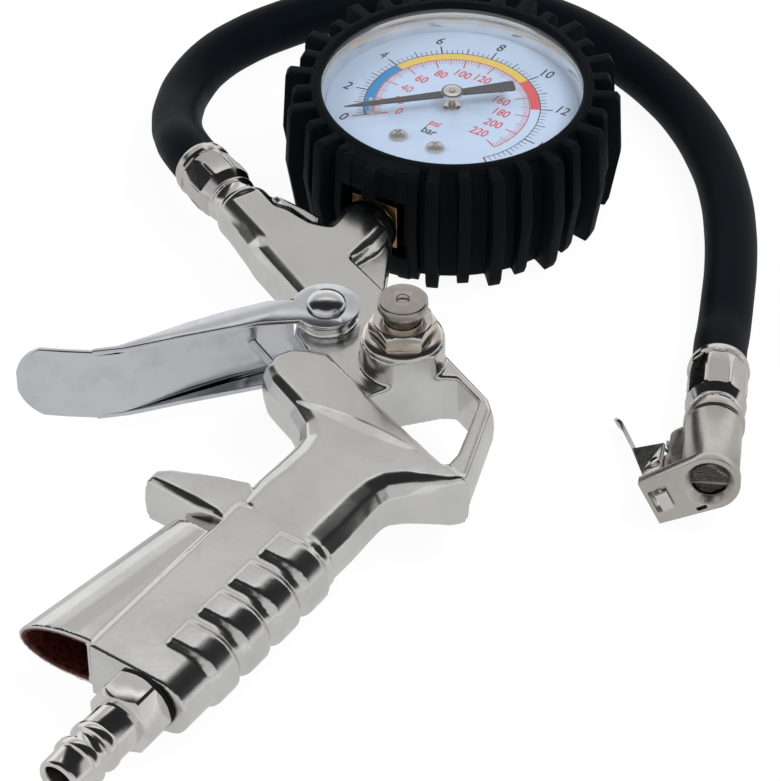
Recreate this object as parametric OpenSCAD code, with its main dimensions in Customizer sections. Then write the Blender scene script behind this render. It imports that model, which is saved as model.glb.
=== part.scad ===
// Pistol tyre inflator with a dial gauge, lying on the back of the gauge boot.
// Origin: centre of the boot's flat back. +Z: out of the dial. -X: along the barrel to the hose.

/* [Gauge boot] */
// Thickness of the rubber boot, back to rim
boot_h = 33.7; // [31:0.1:38]
// Radius of the boot wall between its ribs
boot_r = 36.4; // [36:0.1:38.5]
// Height of a rib above the boot wall
rib_rise = 5.6; // [4:0.1:6.5]
// Width of a rib
rib_w = 3.3; // [2.4:0.1:4.2]
// Height of the short ribs below the long ones
rib_drop = 2; // [1:0.1:3]
// Number of long ribs round the boot
rib_count = 16; // [14:1:18]
// Thickness of the boot's back
boot_floor = 1.8; // [1.2:0.1:2.4]
// Thickness of the boot wall round the case
boot_wall = 2.35; // [2:0.05:2.8]
// Width of the case's edge that the boot's front lip covers
lip_over = 2; // [1:0.1:2.4]

/* [Gauge] */
// Wall of the gauge case
case_wall = 0.8; // [0.6:0.1:1.2]
// Width of the bright ring under the lens
bezel_w = 2.2; // [1.6:0.1:2.6]
// Thickness of the dial plate
dial_t = 0.6; // [0.4:0.1:1]
// Thickness of the lens
lens_t = 1; // [0.8:0.1:1.4]
// Depth of the dial below the lens
dial_depth = 5.8; // [5:0.1:6.4]
// Gap from the pointer's tip to the bright ring
pointer_gap = 4; // [3:0.5:7]
// Angle of the pointer at rest
pointer_angle = 249.5; // [240:0.5:255]
// Travel of the pointer from rest to full scale
pointer_travel = 264; // [240:1:270]
// Half width of the square brass stem
stem_half = 6.2; // [5.5:0.1:6.6]

/* [Gun body] */
// Distance from the gauge axis to the barrel axis
barrel_drop = 58.5; // [57.5:0.5:60]
// Direction of the gauge branch, from the gauge axis to the barrel
branch_angle = -62; // [-64:0.5:-60]
// Radius of the round nose of the barrel
nose_r = 7.3; // [7.1:0.1:7.6]
// Radius of the round socket at the end of the branch
socket_r = 7.2; // [6.8:0.1:7.6]
// Half thickness of the flat plate round the barrel and the rear loop
plate_half = 6.4; // [6:0.1:6.8]
// Half thickness of the grip and the valve chamber
grip_half = 7.2; // [7:0.1:7.8]
// Half thickness of the front shell of the grip
shell_half = 6.6; // [6:0.1:6.9]
// Wall of the hollow front shell
shell_wall = 1.6; // [1.2:0.1:2.2]
// Depth of the hollow in the front shell
shell_depth = 34; // [24:1:36]
// Length of the grip from the valve chamber to the plug
grip_len = 81.5; // [78:0.5:82]
// Radius of the air passages
passage_r = 2.5; // [2:0.1:3]
// Height of a rib on the back of the grip
grip_rib_rise = 1.1; // [0.6:0.1:1.5]
// Number of ribs on the back of the grip
grip_rib_count = 4; // [3:1:4]

/* [Trigger] */
// Distance of the lever pivot behind the gauge axis
pivot_x = 48.6; // [47.6:0.2:49.6]
// Radius of the lever's eye
eye_r = 7.8; // [7:0.1:8.4]
// Half thickness of the gun at the lever pivot
pivot_half = 8.7; // [8.3:0.1:9]
// Thickness of the lever's sheet
lever_t = 1.3; // [1:0.1:1.6]
// Gap between the lever's inside and the pivot boss
lever_gap = 0.25; // [0.15:0.05:0.4]
// Radius of the pivot screw's shank
pivot_r = 2.4; // [2:0.1:2.8]
// Radius of the pivot screw's domed head
pivot_head_r = 4.6; // [4:0.1:5.2]
// Radius of the valve pin
valve_pin_r = 1.1; // [0.9:0.1:1.3]

/* [Release button] */
// Distance of the button axis behind the gauge axis
button_x = 70.3; // [69.8:0.1:71]
// Radius of the boss under the button
boss_r = 9.6; // [9:0.1:9.8]
// Height of the boss top above the casting's middle plane
boss_h = 13.3; // [12.5:0.1:14]
// Radius of the button's head
button_r = 5.7; // [5.2:0.1:6]
// Height of the button's top above the casting's middle plane
button_h = 24.5; // [23.5:0.1:25.5]
// Travel of the button
button_travel = 1.6; // [1:0.1:1.8]
// Width of the hexagon nut across its flats
button_nut_af = 13.6; // [13:0.1:14.2]

/* [Inlet plug] */
// Radius of the plug's two collars
collar_r = 6; // [5.7:0.1:6.3]
// Radius of the plug's shank and of the groove between the collars
shank_r = 4.6; // [4.2:0.1:5]
// Radius of the air way through the plug
plug_bore_r = 3.6; // [3.2:0.1:3.8]
// Width of the plug's hexagon across its flats
plug_hex_af = 15; // [14:0.2:16]

/* [Hose] */
// Outer radius of the hose
hose_r = 6.4; // [6:0.1:6.6]
// Inner radius of the hose
hose_bore_r = 3.2; // [3:0.1:3.6]
// Outer radius of a ferrule
ferrule_r = 7.3; // [7.1:0.1:7.8]
// Length of a ferrule
ferrule_len = 15; // [13:0.5:16]

/* [Tyre chuck] */
// Outer radius of the chuck's barrel
chuck_r = 7; // [6.8:0.1:7.4]
// Length of the chuck's barrel
chuck_len = 25; // [23:0.5:26]
// Radius of the chuck's mouth
mouth_r = 4.1; // [4:0.1:4.3]
// Thickness of the clip's sheet
clip_t = 0.9; // [0.7:0.1:1.1]

/* [Hidden] */
$fn = 72;

// Running clearance of a turning or sliding fit, and of parts screwed or pressed together
run_gap = 0.05;
fit_gap = 0.02;
// Free gap between parts that only lie near each other
free_gap = 0.3;

// Middle plane of the gun and of the gauge
mid_z = boot_h / 2 - 0.35;
case_r = boot_r - boot_wall - run_gap;
case_in = case_r - case_wall;
dial_r = case_in - bezel_w;
pointer_len = dial_r - pointer_gap;
// The movement's plates and gears keep in step with its tube
tube_r = case_in - 6.2;
movement_scale = tube_r / 27;
barrel_y = -barrel_drop;

// Valve chamber: its axis below the barrel axis, its front face and its bore
chamber_y = barrel_y - 22.3;
chamber_x = pivot_x + 6;
chamber_bore_r = 5.6;
chamber_bore_len = 29;

// Grip: the air way runs down its middle, from the chamber axis to the plug
grip_angle = -67;
grip_root = [93.4, chamber_y];
grip_dir = [cos(grip_angle), sin(grip_angle)];
grip_end = grip_root + grip_len * grip_dir;
// Front face and back centre of the grip, across the air way
grip_front = -14.4;
grip_back = 3.9;

// Front shell: its end corner on the grip's front face, its direction and its depth
shell_angle = -75;
shell_corner = grip_point(-1.5, grip_front - 0.8);
shell_flat = 4;
shell_front = 17.4;
shell_len = 40;
// The shell's open end slants, this much further out at its front
shell_slant = 4.9;

plug_thread_r = 6.5;
plug_thread_len = 10;

// Hose end fittings on the barrel axis
barrel_front_x = -2.5;
insert_bore_r = 5.2;
insert_thread_len = 9;
ferrule_gap = 5.5;

pivot = [pivot_x, barrel_y - 7];
lever_half = pivot_half + lever_gap;

stem_out = boot_r + 2.2;
stem_thread_r = 4.9;
stem_thread_len = 9;
branch_dir = [cos(branch_angle), sin(branch_angle)];
// Where the branch axis meets the barrel axis, measured from the gauge axis
branch_len = -barrel_drop / branch_dir[1];

button_at = [button_x, barrel_y];
button_bore_r = 4.95;

function unit(v) = v / norm(v);
function ring_at(centre, r, from, to, steps) =
    [for (i = [0:steps]) let (a = from + (to - from) * i / steps) centre + r * [cos(a), sin(a)]];
// A point of the grip: distance past the grip's end along the air way, and distance to its back
function grip_point(s, v) = grip_end + s * grip_dir + v * [-grip_dir[1], grip_dir[0]];

// Outline corner i moved out by its own bulge, times k. The outline runs anticlockwise.
function grown(p, i, k) =
    let (n = len(p), here = [p[i][0], p[i][1]],
         next = [p[(i + 1) % n][0], p[(i + 1) % n][1]],
         last = [p[(i + n - 1) % n][0], p[(i + n - 1) % n][1]],
         a = unit(next - here), b = unit(here - last))
    here + k * p[i][2] * [a[1] + b[1], -a[0] - b[0]] / (1 + a * b);

// An anticlockwise outline p cut into triangles, one corner that holds no other at a time. q lists its corners.
function turn(a, b, c) = (b[0] - a[0]) * (c[1] - a[1]) - (b[1] - a[1]) * (c[0] - a[0]);
function holds(a, b, c, x) = turn(a, b, x) >= 0 && turn(b, c, x) >= 0 && turn(c, a, x) >= 0;
function corner_free(p, q, i) = let (n = len(q), a = q[(i + n - 1) % n], b = q[i], c = q[(i + 1) % n])
    turn(p[a], p[b], p[c]) > 0 && len([for (k = q) if (k != a && k != b && k != c && holds(p[a], p[b], p[c], p[k])) k]) == 0;
function free_from(p, q, i) = i >= len(q) - 1 || corner_free(p, q, i) ? i : free_from(p, q, i + 1);
function cut_up(p, q) = len(q) < 4 ? [q] : let (n = len(q), i = free_from(p, q, 0))
    concat([[q[(i + n - 1) % n], q[i], q[(i + 1) % n]]], cut_up(p, [for (k = [0:n - 1]) if (k != i) q[k]]));

// A flat slab whose sides swell out as a half ellipse. Each outline point is [x, y, bulge].
module pillow(outline, half, rings = 6) {
    n = len(outline);
    angles = [for (k = [0:rings]) -90 + 180 * k / rings];
    points = [for (t = angles) for (i = [0:n - 1])
        let (q = grown(outline, i, cos(t))) [q[0], q[1], half * sin(t)]];
    sides = [for (k = [0:rings - 1]) for (i = [0:n - 1])
        let (j = (i + 1) % n) [k * n + i, (k + 1) * n + i, (k + 1) * n + j, k * n + j]];
    base = cut_up(outline, [for (i = [0:n - 1]) i]);
    caps = concat(base, [for (t = base) [rings * n + t[2], rings * n + t[1], rings * n + t[0]]]);
    translate([0, 0, mid_z]) polyhedron(points, concat(sides, caps), convexity = 8);
}

// Children drawn up the local Z axis come to lie in the middle plane, pointing at angle a from p.
// Local Y then points to a + 90, and local X points down.
module lay(p, a) translate([p[0], p[1], mid_z]) rotate([0, 0, a]) rotate([0, 90, 0]) children();

// A tube, or a solid rod where the inner radius is 0, from height a to height b
module tube(outer, inner, a, b)
    translate([0, 0, a]) difference() {
        cylinder(r = outer, h = b - a);
        if (inner > 0) translate([0, 0, -1]) cylinder(r = inner, h = b - a + 2);
    }

module hex(af, h) cylinder(r = af / sqrt(3), h = h, $fn = 6);

// Outline of the flat plate that carries the barrel, the branch root and the rear loop
plate_outline = [
    [5, -60, 6], [15.5, -60.6, 6.6], [18.6, -63.4, 4], [38, -64.2, 3.4], [42, -67, 1], [45.2, -70.9, 0.4],
    [49, -73.8, 1], [56, -75, 0.5], [66, -76.5, 0], [90, -76, 0], [106, -74, 0],
    [110, -67.9, 1.2], [93.8, -50.8, 1.5], [91, -49.7, 1.5], [47.4, -49.4, 0.8], [32.6, -49.7, 0.8],
    [29, -42.6, 3.4], [26.4, -37.4, 3], [23.8, -37, 1.5], [22, -42.5, 2], [20.7, -47.5, 1.5],
    [17, -50.9, 2], [10, -53.2, 4.4], [5, -56.8, 6]];

// Outline of the thick part: valve chamber, neck and root of the grip
neck_outline = [
    [60.2, -72.6, 0], [56.6, -75.8, 0.6], [54.6, -78.8, 1], [54.6, -82.3, 1.4], [56.5, -84.6, 2.4],
    [60.2, -85.2, 3.4], [70.2, -84.9, 3.8], [77.2, -85.4, 4.6], [82.2, -87.6, 5.4], [85.1, -91.8, 5.8],
    [87.9, -98.8, 5.8], [89.6, -104.8, 5], [92.6, -111.6, 2.4], [102, -111, 1],
    [108.4, -106.8, 6.9], [105.3, -99.4, 6.9], [102.4, -92.8, 6.6], [100.6, -87.2, 6],
    [100.5, -82.4, 5.4], [102.4, -78.2, 5], [106.2, -74.2, 3.2], [109.5, -70.8, 1.8], [110.4, -68.4, 1.2],
    [102, -69.2, 0], [88, -70.5, 0], [73, -71.8, 0]];

// Finger rest at the top of the front shell
fin_outline = [
    [87, -108.3, 0.3], [82, -112.7, 0.3], [78.9, -115.9, 0.5], [74.5, -120.7, 0.9], [73.1, -123.5, 1.2],
    [74.1, -125.5, 1.4], [78.2, -123.3, 2.4], [85.4, -120.1, 3], [90.5, -118.5, 2],
    [98.5, -118, 0], [96.5, -111, 0]];

// Window in the rear loop
window_outline = [[76.6, -71.9], [76.9, -65.2], [80.1, -54.4], [82, -51.5], [91, -51.4],
    [92.6, -52.9], [103, -64.8], [105.3, -69.9]];

// ---- Gun body ----

// Round nose of the barrel, with its rounded shoulder
module barrel_nose() lay([barrel_front_x, barrel_y], 0) rotate_extrude()
    polygon(concat([[0, 0], [nose_r - 0.8, 0], [nose_r, 0.8]], [[nose_r, 24], [0, 24]]));

// Round socket of the gauge branch
module branch_socket() lay([0, 0], branch_angle) rotate_extrude()
    polygon(concat([[0, stem_out], [socket_r - 1.5, stem_out]],
        ring_at([socket_r - 1.5, stem_out + 1.5], 1.5, -90, 0, 4),
        [[socket_r, branch_len], [0, branch_len]]));

grip_back_len = grip_len - 29.5;
module grip_back_body() lay(grip_end, grip_angle) translate([0, 0, -grip_back_len]) linear_extrude(grip_back_len) {
    translate([0, grip_back]) circle(r = grip_half);
    translate([-grip_half, grip_front]) square([2 * grip_half, grip_back - grip_front]);
}

// Ribs across the back of the grip
rib_pitch = 10.6;
rib_start = -48.5;
module grip_ribs() lay(grip_end, grip_angle)
    for (k = [0:grip_rib_count - 1]) translate([0, 0, rib_start + k * rib_pitch]) {
        linear_extrude(6) rib_profile(grip_rib_rise);
        translate([0, 0, -0.8]) linear_extrude(7.6) rib_profile(grip_rib_rise / 2);
    }
module rib_profile(rise) {
    translate([0, grip_back]) circle(r = grip_half + rise);
    translate([-grip_half - rise, -1]) square([2 * (grip_half + rise), grip_back + 1]);
}

// Rounded section of the front shell, drawn in by w
module shell_profile(w) polygon(concat([[shell_half - w, 3]],
    [for (t = [0:15:180]) [(shell_half - w) * cos(t), -shell_flat - (shell_front - shell_flat - w) * sin(t)]],
    [[-shell_half + w, 3]]));

module shell_outer() lay(shell_corner, shell_angle) intersection() {
    translate([0, 0, -shell_len]) linear_extrude(shell_len + shell_slant + 1) shell_profile(0);
    // Slanted cut of the open end
    rotate([0, -90, 0]) linear_extrude(4 * shell_half, center = true)
        polygon([[-shell_len, 9], [0, 9], [0, 0], [shell_slant, -shell_front], [shell_slant, -2 * shell_front],
                 [-shell_len, -2 * shell_front]]);
}
module shell_hollow() lay(shell_corner, shell_angle)
    translate([0, 0, -shell_depth]) linear_extrude(shell_depth + 9) intersection() {
        shell_profile(shell_wall);
        translate([-shell_half, -shell_front]) square([2 * shell_half, shell_front - 1.2]);
    }

module gun_body() color([0.74, 0.72, 0.69]) difference() {
    union() {
        barrel_nose();
        branch_socket();
        pillow(plate_outline, plate_half);
        pillow(neck_outline, grip_half);
        pillow(fin_outline, shell_half);
        grip_back_body();
        grip_ribs();
        shell_outer();
        // Pivot boss
        translate([pivot[0], pivot[1], mid_z - pivot_half]) cylinder(r = eye_r - 0.8, h = 2 * pivot_half);
        // Boss under the release button
        translate([button_x, barrel_y, mid_z - 4]) cylinder(r = boss_r, h = boss_h + 4);
        // Webs in the two crotches of the branch
        translate([0, 0, mid_z - 3]) linear_extrude(6)
            polygon([[31, -52], [28.6, -37], [31.5, -37.5], [46.5, -49], [46, -52]]);
        translate([0, 0, mid_z - 5.5]) linear_extrude(11)
            polygon([[2, -52], [6, -50.4], [11, -48.4], [15.5, -47], [22, -52]]);
    }
    translate([0, 0, mid_z - 15]) linear_extrude(30) polygon(window_outline);
    // Room for the gauge's boot
    translate([0, 0, -1]) cylinder(r = stem_out - 0.05, h = 2 * boot_h);
    shell_hollow();
    // Barrel air way and the socket for the hose insert
    lay([barrel_front_x, barrel_y], 0) {
        translate([0, 0, -1]) cylinder(r = passage_r, h = button_x - barrel_front_x + 1);
        translate([0, 0, -1]) cylinder(r = insert_bore_r, h = insert_thread_len + 1.5);
    }
    // Branch air way and the socket for the gauge stem
    lay([0, 0], branch_angle) {
        cylinder(r = socket_r, h = stem_out - 0.02);
        translate([0, 0, stem_out - 1]) cylinder(r = passage_r - 0.2, h = branch_len - stem_out + 1);
        translate([0, 0, stem_out - 1]) cylinder(r = stem_thread_r + fit_gap, h = stem_thread_len + 1.5);
    }
    // Valve chamber and the ways out of it
    lay([chamber_x, chamber_y], 0) translate([0, 0, -4]) cylinder(r = chamber_bore_r, h = chamber_bore_len + 4);
    lay([chamber_x, chamber_y], 0) cylinder(r = passage_r, h = grip_root[0] - chamber_x);
    lay([chamber_x + 11.5, chamber_y], 90) cylinder(r = 1.8, h = barrel_y - chamber_y);
    // Air way down the grip and the socket for the plug
    lay(grip_root, grip_angle) cylinder(r = passage_r - 0.2, h = grip_len);
    lay(grip_end, grip_angle) translate([0, 0, -plug_thread_len - 0.5])
        cylinder(r = plug_thread_r + fit_gap, h = plug_thread_len + 1.5);
    // Pivot hole
    translate([pivot[0], pivot[1], 0]) cylinder(r = pivot_r + run_gap, h = boot_h);
    // Release valve bore
    translate([button_x, barrel_y, mid_z - 2]) cylinder(r = button_bore_r + fit_gap, h = boss_h + 3);
}

// ---- Trigger ----

lever_tip_r = lever_half + lever_t;
// Front face of the lever's web from the pivot down to the flared tip
lever_front = [[43, -71], [40.2, -76], [38.2, -86], [36.9, -96], [36.3, -106], [35.6, -113], [33.6, -118],
    [29.7, -123.5], [22.8, -132.2]];
function lever_back(i) = let (n = len(lever_front), last = lever_front[max(i - 1, 0)],
    next = lever_front[min(i + 1, n - 1)], d = unit(next - last)) lever_front[i] + lever_t * [-d[1], d[0]];
// Outline of one side flange
lever_side = concat(lever_front, [lever_back(8), lever_back(7), lever_back(6), [36.9, -114], [38.4, -108.5],
    [40.7, -99.4], [43.2, -90.4], [45.8, -81.4], [49, -73.5]]);
module lever_flange() {
    polygon(concat([for (i = [0:6]) lever_front[i]], [lever_back(6), [37.4, -112], [38.4, -108.5], [40.7, -99.4],
        [43.2, -90.4], [45.8, -81.4], [50, -73]]));
    translate(pivot) circle(r = eye_r);
}
module trigger_lever() color([0.8, 0.81, 0.84]) difference() {
    union() {
        for (z = [-lever_tip_r, lever_half]) translate([0, 0, mid_z + z]) linear_extrude(lever_t) lever_flange();
        // Web, bent out at its tip
        translate([0, 0, mid_z - lever_tip_r + 0.4]) linear_extrude(2 * lever_tip_r - 0.8)
            polygon(concat(lever_front, [for (i = [8:-1:0]) lever_back(i)]));
    }
    translate([pivot[0], pivot[1], 0]) cylinder(r = pivot_r + run_gap, h = boot_h);
    // Rounded end of the tip
    lay(lever_front[8], 141.7) linear_extrude(12, center = true) difference() {
        translate([-lever_tip_r - 1, -8]) square([2 * lever_tip_r + 2, 9]);
        translate([0, -9.6]) scale([1.08, 1]) circle(r = 9.9);
    }
}

head_z = mid_z + lever_tip_r + run_gap;
clip_z = mid_z - lever_tip_r - run_gap - 0.8;
module pivot_screw() color([0.8, 0.79, 0.77]) translate(pivot) rotate_extrude()
    polygon(concat([[0, clip_z - 0.8], [pivot_r - 0.4, clip_z - 0.8], [pivot_r, clip_z - 0.4], [pivot_r, clip_z - 0.05],
        [pivot_r - 0.6, clip_z - 0.05], [pivot_r - 0.6, clip_z + 0.85], [pivot_r, clip_z + 0.85],
        [pivot_r, head_z], [pivot_head_r, head_z], [pivot_head_r, head_z + 0.5]],
        [for (t = [15:15:90]) [pivot_head_r * cos(t), head_z + 0.5 + 2.1 * sin(t)]]));
module pivot_clip() color([0.5, 0.5, 0.52]) translate([pivot[0], pivot[1], clip_z]) linear_extrude(0.8) difference() {
    circle(r = pivot_r + 2);
    circle(r = pivot_r - 0.6 + run_gap);
    translate([0, -1.5]) square([pivot_r + 3, 3]);
    for (a = [125, 235]) rotate(a) translate([pivot_r + 0.7, 0]) circle(r = 0.9);
}

// ---- Valve ----

pin_tip_x = 40.78;
seat_x = chamber_x + 14;
module valve_pin() color([0.78, 0.77, 0.74]) lay([pin_tip_x, chamber_y], 0) rotate_extrude()
    polygon([[0, 0], [valve_pin_r - 0.4, 0], [valve_pin_r, 0.4], [valve_pin_r, seat_x + 3.05 - pin_tip_x],
        [2.8, seat_x + 3.05 - pin_tip_x], [3.8, seat_x + 3.6 - pin_tip_x], [3.8, seat_x + 6 - pin_tip_x],
        [0, seat_x + 6 - pin_tip_x]]);
module gland_nut() color([0.76, 0.63, 0.36]) lay([chamber_x + 0.6, chamber_y], 0) difference() {
    tube(chamber_bore_r - run_gap, valve_pin_r + run_gap, 0, 6.8);
    for (a = [0, 90]) rotate([0, 0, a]) translate([-chamber_bore_r, -0.7, -1]) cube([2 * chamber_bore_r, 1.4, 2.2]);
}
module pin_seal() color([0.08, 0.08, 0.08]) lay([chamber_x + 7.42, chamber_y], 0)
    tube(chamber_bore_r - fit_gap, valve_pin_r + fit_gap, 0, 1.6);
module valve_seat() color([0.76, 0.63, 0.36]) lay([seat_x, chamber_y], 0) difference() {
    tube(chamber_bore_r - fit_gap, passage_r, 0, 3);
    translate([0, 0, 2.2]) cylinder(r1 = passage_r, r2 = passage_r + 1, h = 1);
}

// A closed coil of round wire, drawn as one tube, from height 0 to h
module coil(r, wire, h, turns) {
    steps = 12;
    n = turns * steps;
    points = [for (i = [0:n]) for (k = [0:5])
        let (a = 360 * i / steps, z = wire + (h - 2 * wire) * i / n, c = r + wire * cos(60 * k))
        [c * cos(a), c * sin(a), z + wire * sin(60 * k)]];
    sides = [for (i = [0:n - 1]) for (k = [0:5])
        let (m = (k + 1) % 6) [i * 6 + k, i * 6 + m, (i + 1) * 6 + m, (i + 1) * 6 + k]];
    polyhedron(points, concat(sides, [[5, 4, 3, 2, 1, 0]], [[for (k = [0:5]) n * 6 + k]]), convexity = 6);
}
module valve_spring() color([0.7, 0.7, 0.72]) lay([chamber_x + chamber_bore_len - 0.02, chamber_y], 180)
    coil(4.2, 0.5, 5.1, 3.5);

// ---- Release valve ----

boss_top = mid_z + boss_h;
nut_z = boss_top + 1.5;
neck_r = 4.2;
button_top = mid_z + button_h;
floor_z = mid_z + 7.4;
module release_washer() color([0.79, 0.77, 0.73]) translate(button_at) rotate_extrude()
    polygon([[button_bore_r + 0.05, boss_top + fit_gap], [boss_r - 0.5, boss_top + fit_gap], [boss_r - 0.3, boss_top + 0.6],
        [boss_r - 0.6, boss_top + 1], [boss_r - 1.6, boss_top + 1.48], [button_bore_r + 0.05, boss_top + 1.48]]);
module release_nut() color([0.8, 0.78, 0.74]) translate(button_at) difference() {
    union() {
        intersection() {
            translate([0, 0, nut_z]) hex(button_nut_af, 4.1);
            translate([0, 0, nut_z - 1]) rotate_extrude() polygon([[0, 0], [button_nut_af / 2 + 1.2, 0],
                [button_nut_af / 2 + 1.2, 4.1], [button_nut_af / 2 - 0.2, 5.1], [0, 5.1]]);
        }
        translate([0, 0, floor_z]) cylinder(r = button_bore_r - 0.05 + fit_gap, h = nut_z - floor_z + 0.5);
    }
    translate([0, 0, floor_z + 1.5]) cylinder(r = 3.3, h = 20);
    translate([0, 0, nut_z]) cylinder(r = neck_r + run_gap, h = 9);
    translate([0, 0, floor_z - 1]) cylinder(r = 1.5 + run_gap, h = 9);
}
module release_button() color([0.77, 0.72, 0.63]) translate(button_at) rotate_extrude()
    polygon([[0, floor_z - 2.8], [2.6, floor_z - 2.8], [2.6, floor_z - 1.8], [1.5, floor_z - 1.8], [1.5, nut_z + 1.8],
        [neck_r, nut_z + 1.8], [neck_r, button_top - 2.6], [button_r - 0.3, button_top - 2.6],
        [button_r, button_top - 2.3], [button_r, button_top - 0.4], [button_r - 0.4, button_top],
        [1.6, button_top], [1.2, button_top - 0.7], [0, button_top - 0.9]]);
module release_seal() color([0.08, 0.08, 0.08]) translate([button_x, barrel_y, floor_z - 1.76])
    tube(3.6, 1.5 + fit_gap, 0, 1.7);
module release_spring() color([0.7, 0.7, 0.72]) translate([button_x, barrel_y, floor_z + 1.52])
    coil(2.5, 0.4, nut_z + 1.8 - floor_z - 1.54, 4.5);

// ---- Gauge boot ----

boot_r_in = boot_r - boot_wall;
lip_r = case_r - lip_over;
rib_top_r = boot_r + rib_rise;
// A rib seen from the side: it swells at mid height and reaches out to radius reach
// Section of a rib, from the boot's back over its edge to the ring round the lens
module rib_section(reach) polygon([[boot_r - 1.6, 0.6], [reach - 3.2, 0], [reach - 2.2, 2.4], [reach, boot_h * 0.5],
    [reach - 0.9, boot_h - 1.4], [reach - 1.8, boot_h - 0.2], [boot_r_in + 0.2, boot_h - 0.2],
    [boot_r_in + 0.2, boot_h - 3.6], [boot_r - 1.6, boot_h - 4]]);
module rib_at(turn, w, reach) rotate([0, 0, branch_angle + turn - w / 2]) rotate_extrude(angle = w) rib_section(reach);
module gauge_boot() color([0.07, 0.07, 0.075]) difference() {
    union() {
        rotate_extrude() polygon([[0, 0], [boot_r - 2.6, 0], [boot_r - 1.5, 1], [boot_r - 0.4, 7], [boot_r, boot_h * 0.5],
            [boot_r - 0.3, boot_h - 6], [boot_r - 0.7, boot_h - 3.6], [boot_r_in + 0.9, boot_h - 3],
            [boot_r_in + 0.7, boot_h - 0.5], [boot_r_in + 0.2, boot_h], [lip_r + 0.7, boot_h], [lip_r, boot_h - 0.8],
            [lip_r, boot_h - 1.5], [0, boot_h - 1.5]]);
        w = rib_w / rib_top_r * 180 / PI;
        for (k = [0:rib_count - 1]) {
            rib_at(360 * k / rib_count, w, rib_top_r);
            rib_at(360 * (k + 0.5) / rib_count, w, rib_top_r - rib_drop);
        }
        // Pad round the opening for the stem
        rib_at(0, 34, rib_top_r - 1.2 * rib_drop);
    }
    // Room for the case, the lens above it and the stem
    translate([0, 0, boot_floor]) cylinder(r = boot_r_in, h = boot_h - 1.45 - boot_floor);
    translate([0, 0, boot_floor + 3]) cylinder(r = lip_r, h = boot_h);
    rotate([0, 0, branch_angle]) translate([case_r - 4, -stem_half - 2.5, mid_z - stem_half - 2.5])
        cube([20, 2 * stem_half + 5, 2 * stem_half + 5]);
}

// ---- Gauge case, dial and lens ----

case_z = boot_floor + fit_gap;
lens_top = boot_h - 1.5;
lens_z = lens_top - lens_t;
dial_z = lens_z - dial_depth;
module gauge_case() color([0.12, 0.12, 0.13]) difference() {
    tube(case_r, 0, case_z, lens_top);
    translate([0, 0, case_z + case_wall]) cylinder(r = case_in, h = boot_h);
    rotate([0, 0, branch_angle]) translate([case_in - 3, -stem_half - fit_gap, mid_z - stem_half - fit_gap])
        cube([10, 2 * (stem_half + fit_gap), 2 * (stem_half + fit_gap)]);
}
bezel_z = dial_z + dial_t + fit_gap;
module gauge_bezel() color([0.75, 0.76, 0.78]) rotate_extrude()
    polygon([[dial_r, bezel_z], [case_in - fit_gap, bezel_z], [case_in - fit_gap, lens_z - fit_gap],
        [dial_r + 1.2, lens_z - fit_gap], [dial_r + 0.6, lens_z - 1]]);
module gauge_lens() color([0.85, 0.9, 0.93, 0.35]) tube(case_in - 0.3, 0, lens_z, lens_top);
screw_at = movement_scale * [[3.2, -17.6], [12, -12.6]];
module gauge_dial() color([0.93, 0.94, 0.96]) translate([0, 0, dial_z]) difference() {
    cylinder(r = dial_r + 1.2, h = dial_t);
    translate([0, 0, -1]) cylinder(r = 2.2, h = 3);
    for (p = screw_at) translate([p[0], p[1], -1]) cylinder(r = 1.05, h = 3);
}
module dial_screws() color([0.74, 0.72, 0.68]) for (p = screw_at) translate(p) difference() {
    rotate_extrude() polygon([[0, plate_top], [1, plate_top], [1, dial_z + dial_t + fit_gap],
        [2.1, dial_z + dial_t + fit_gap], [1.9, dial_z + dial_t + 0.7], [1.1, dial_z + dial_t + 1.1], [0, dial_z + dial_t + 1.2]]);
    translate([-3, -0.25, dial_z + dial_t + 0.75]) cube([6, 0.5, 1]);
}
pointer_z = lens_z - 1.5;
pointer_tail = 0.58 * pointer_len;
module gauge_pointer() color([0.05, 0.05, 0.05]) rotate([0, 0, pointer_angle]) difference() {
    union() {
        translate([0, 0, pointer_z]) linear_extrude(0.5) {
            polygon([[0, -1.3], [pointer_len - 6, -0.7], [pointer_len, 0], [pointer_len - 6, 0.7], [0, 1.3]]);
            polygon([[0, 1], [0.6 - pointer_tail, 1.9], [-pointer_tail, 1.5], [-pointer_tail, -1.5], [0.6 - pointer_tail, -1.9], [0, -1]]);
        }
        translate([0, 0, pointer_z - 0.9]) cylinder(r = 1.6, h = 1);
        translate([0, 0, pointer_z]) cylinder(r = 2.6, h = 1.1);
    }
    translate([0, 0, pointer_z - 2]) cylinder(r = 0.8 + fit_gap, h = 5);
}

// ---- Gauge movement ----

gear_ratio = pointer_travel / 41.5;
pinion_r = 2.2 * movement_scale;
sector_r = pinion_r * gear_ratio;
sector_at = (pinion_r + sector_r) * [cos(208), sin(208)];
gear_z = mid_z;
plate_low = mid_z - 8.5;
plate_high = mid_z + 4.5;
plate_top = plate_high + 1.2;
module pinion_arbor() color([0.76, 0.63, 0.36]) difference() {
    union() {
        tube(0.8, 0, plate_low + 0.1, pointer_z + 1.3);
        translate([0, 0, gear_z - 1]) linear_extrude(3) union() {
            circle(r = pinion_r - 0.75);
            for (k = [0:11]) rotate(30 * k + 15) polygon([[0, -0.45], [pinion_r - 0.5, -0.32], [pinion_r + 0.25, -0.12],
                [pinion_r + 0.25, 0.12], [pinion_r - 0.5, 0.32], [0, 0.45]]);
        }
    }
}
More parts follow.
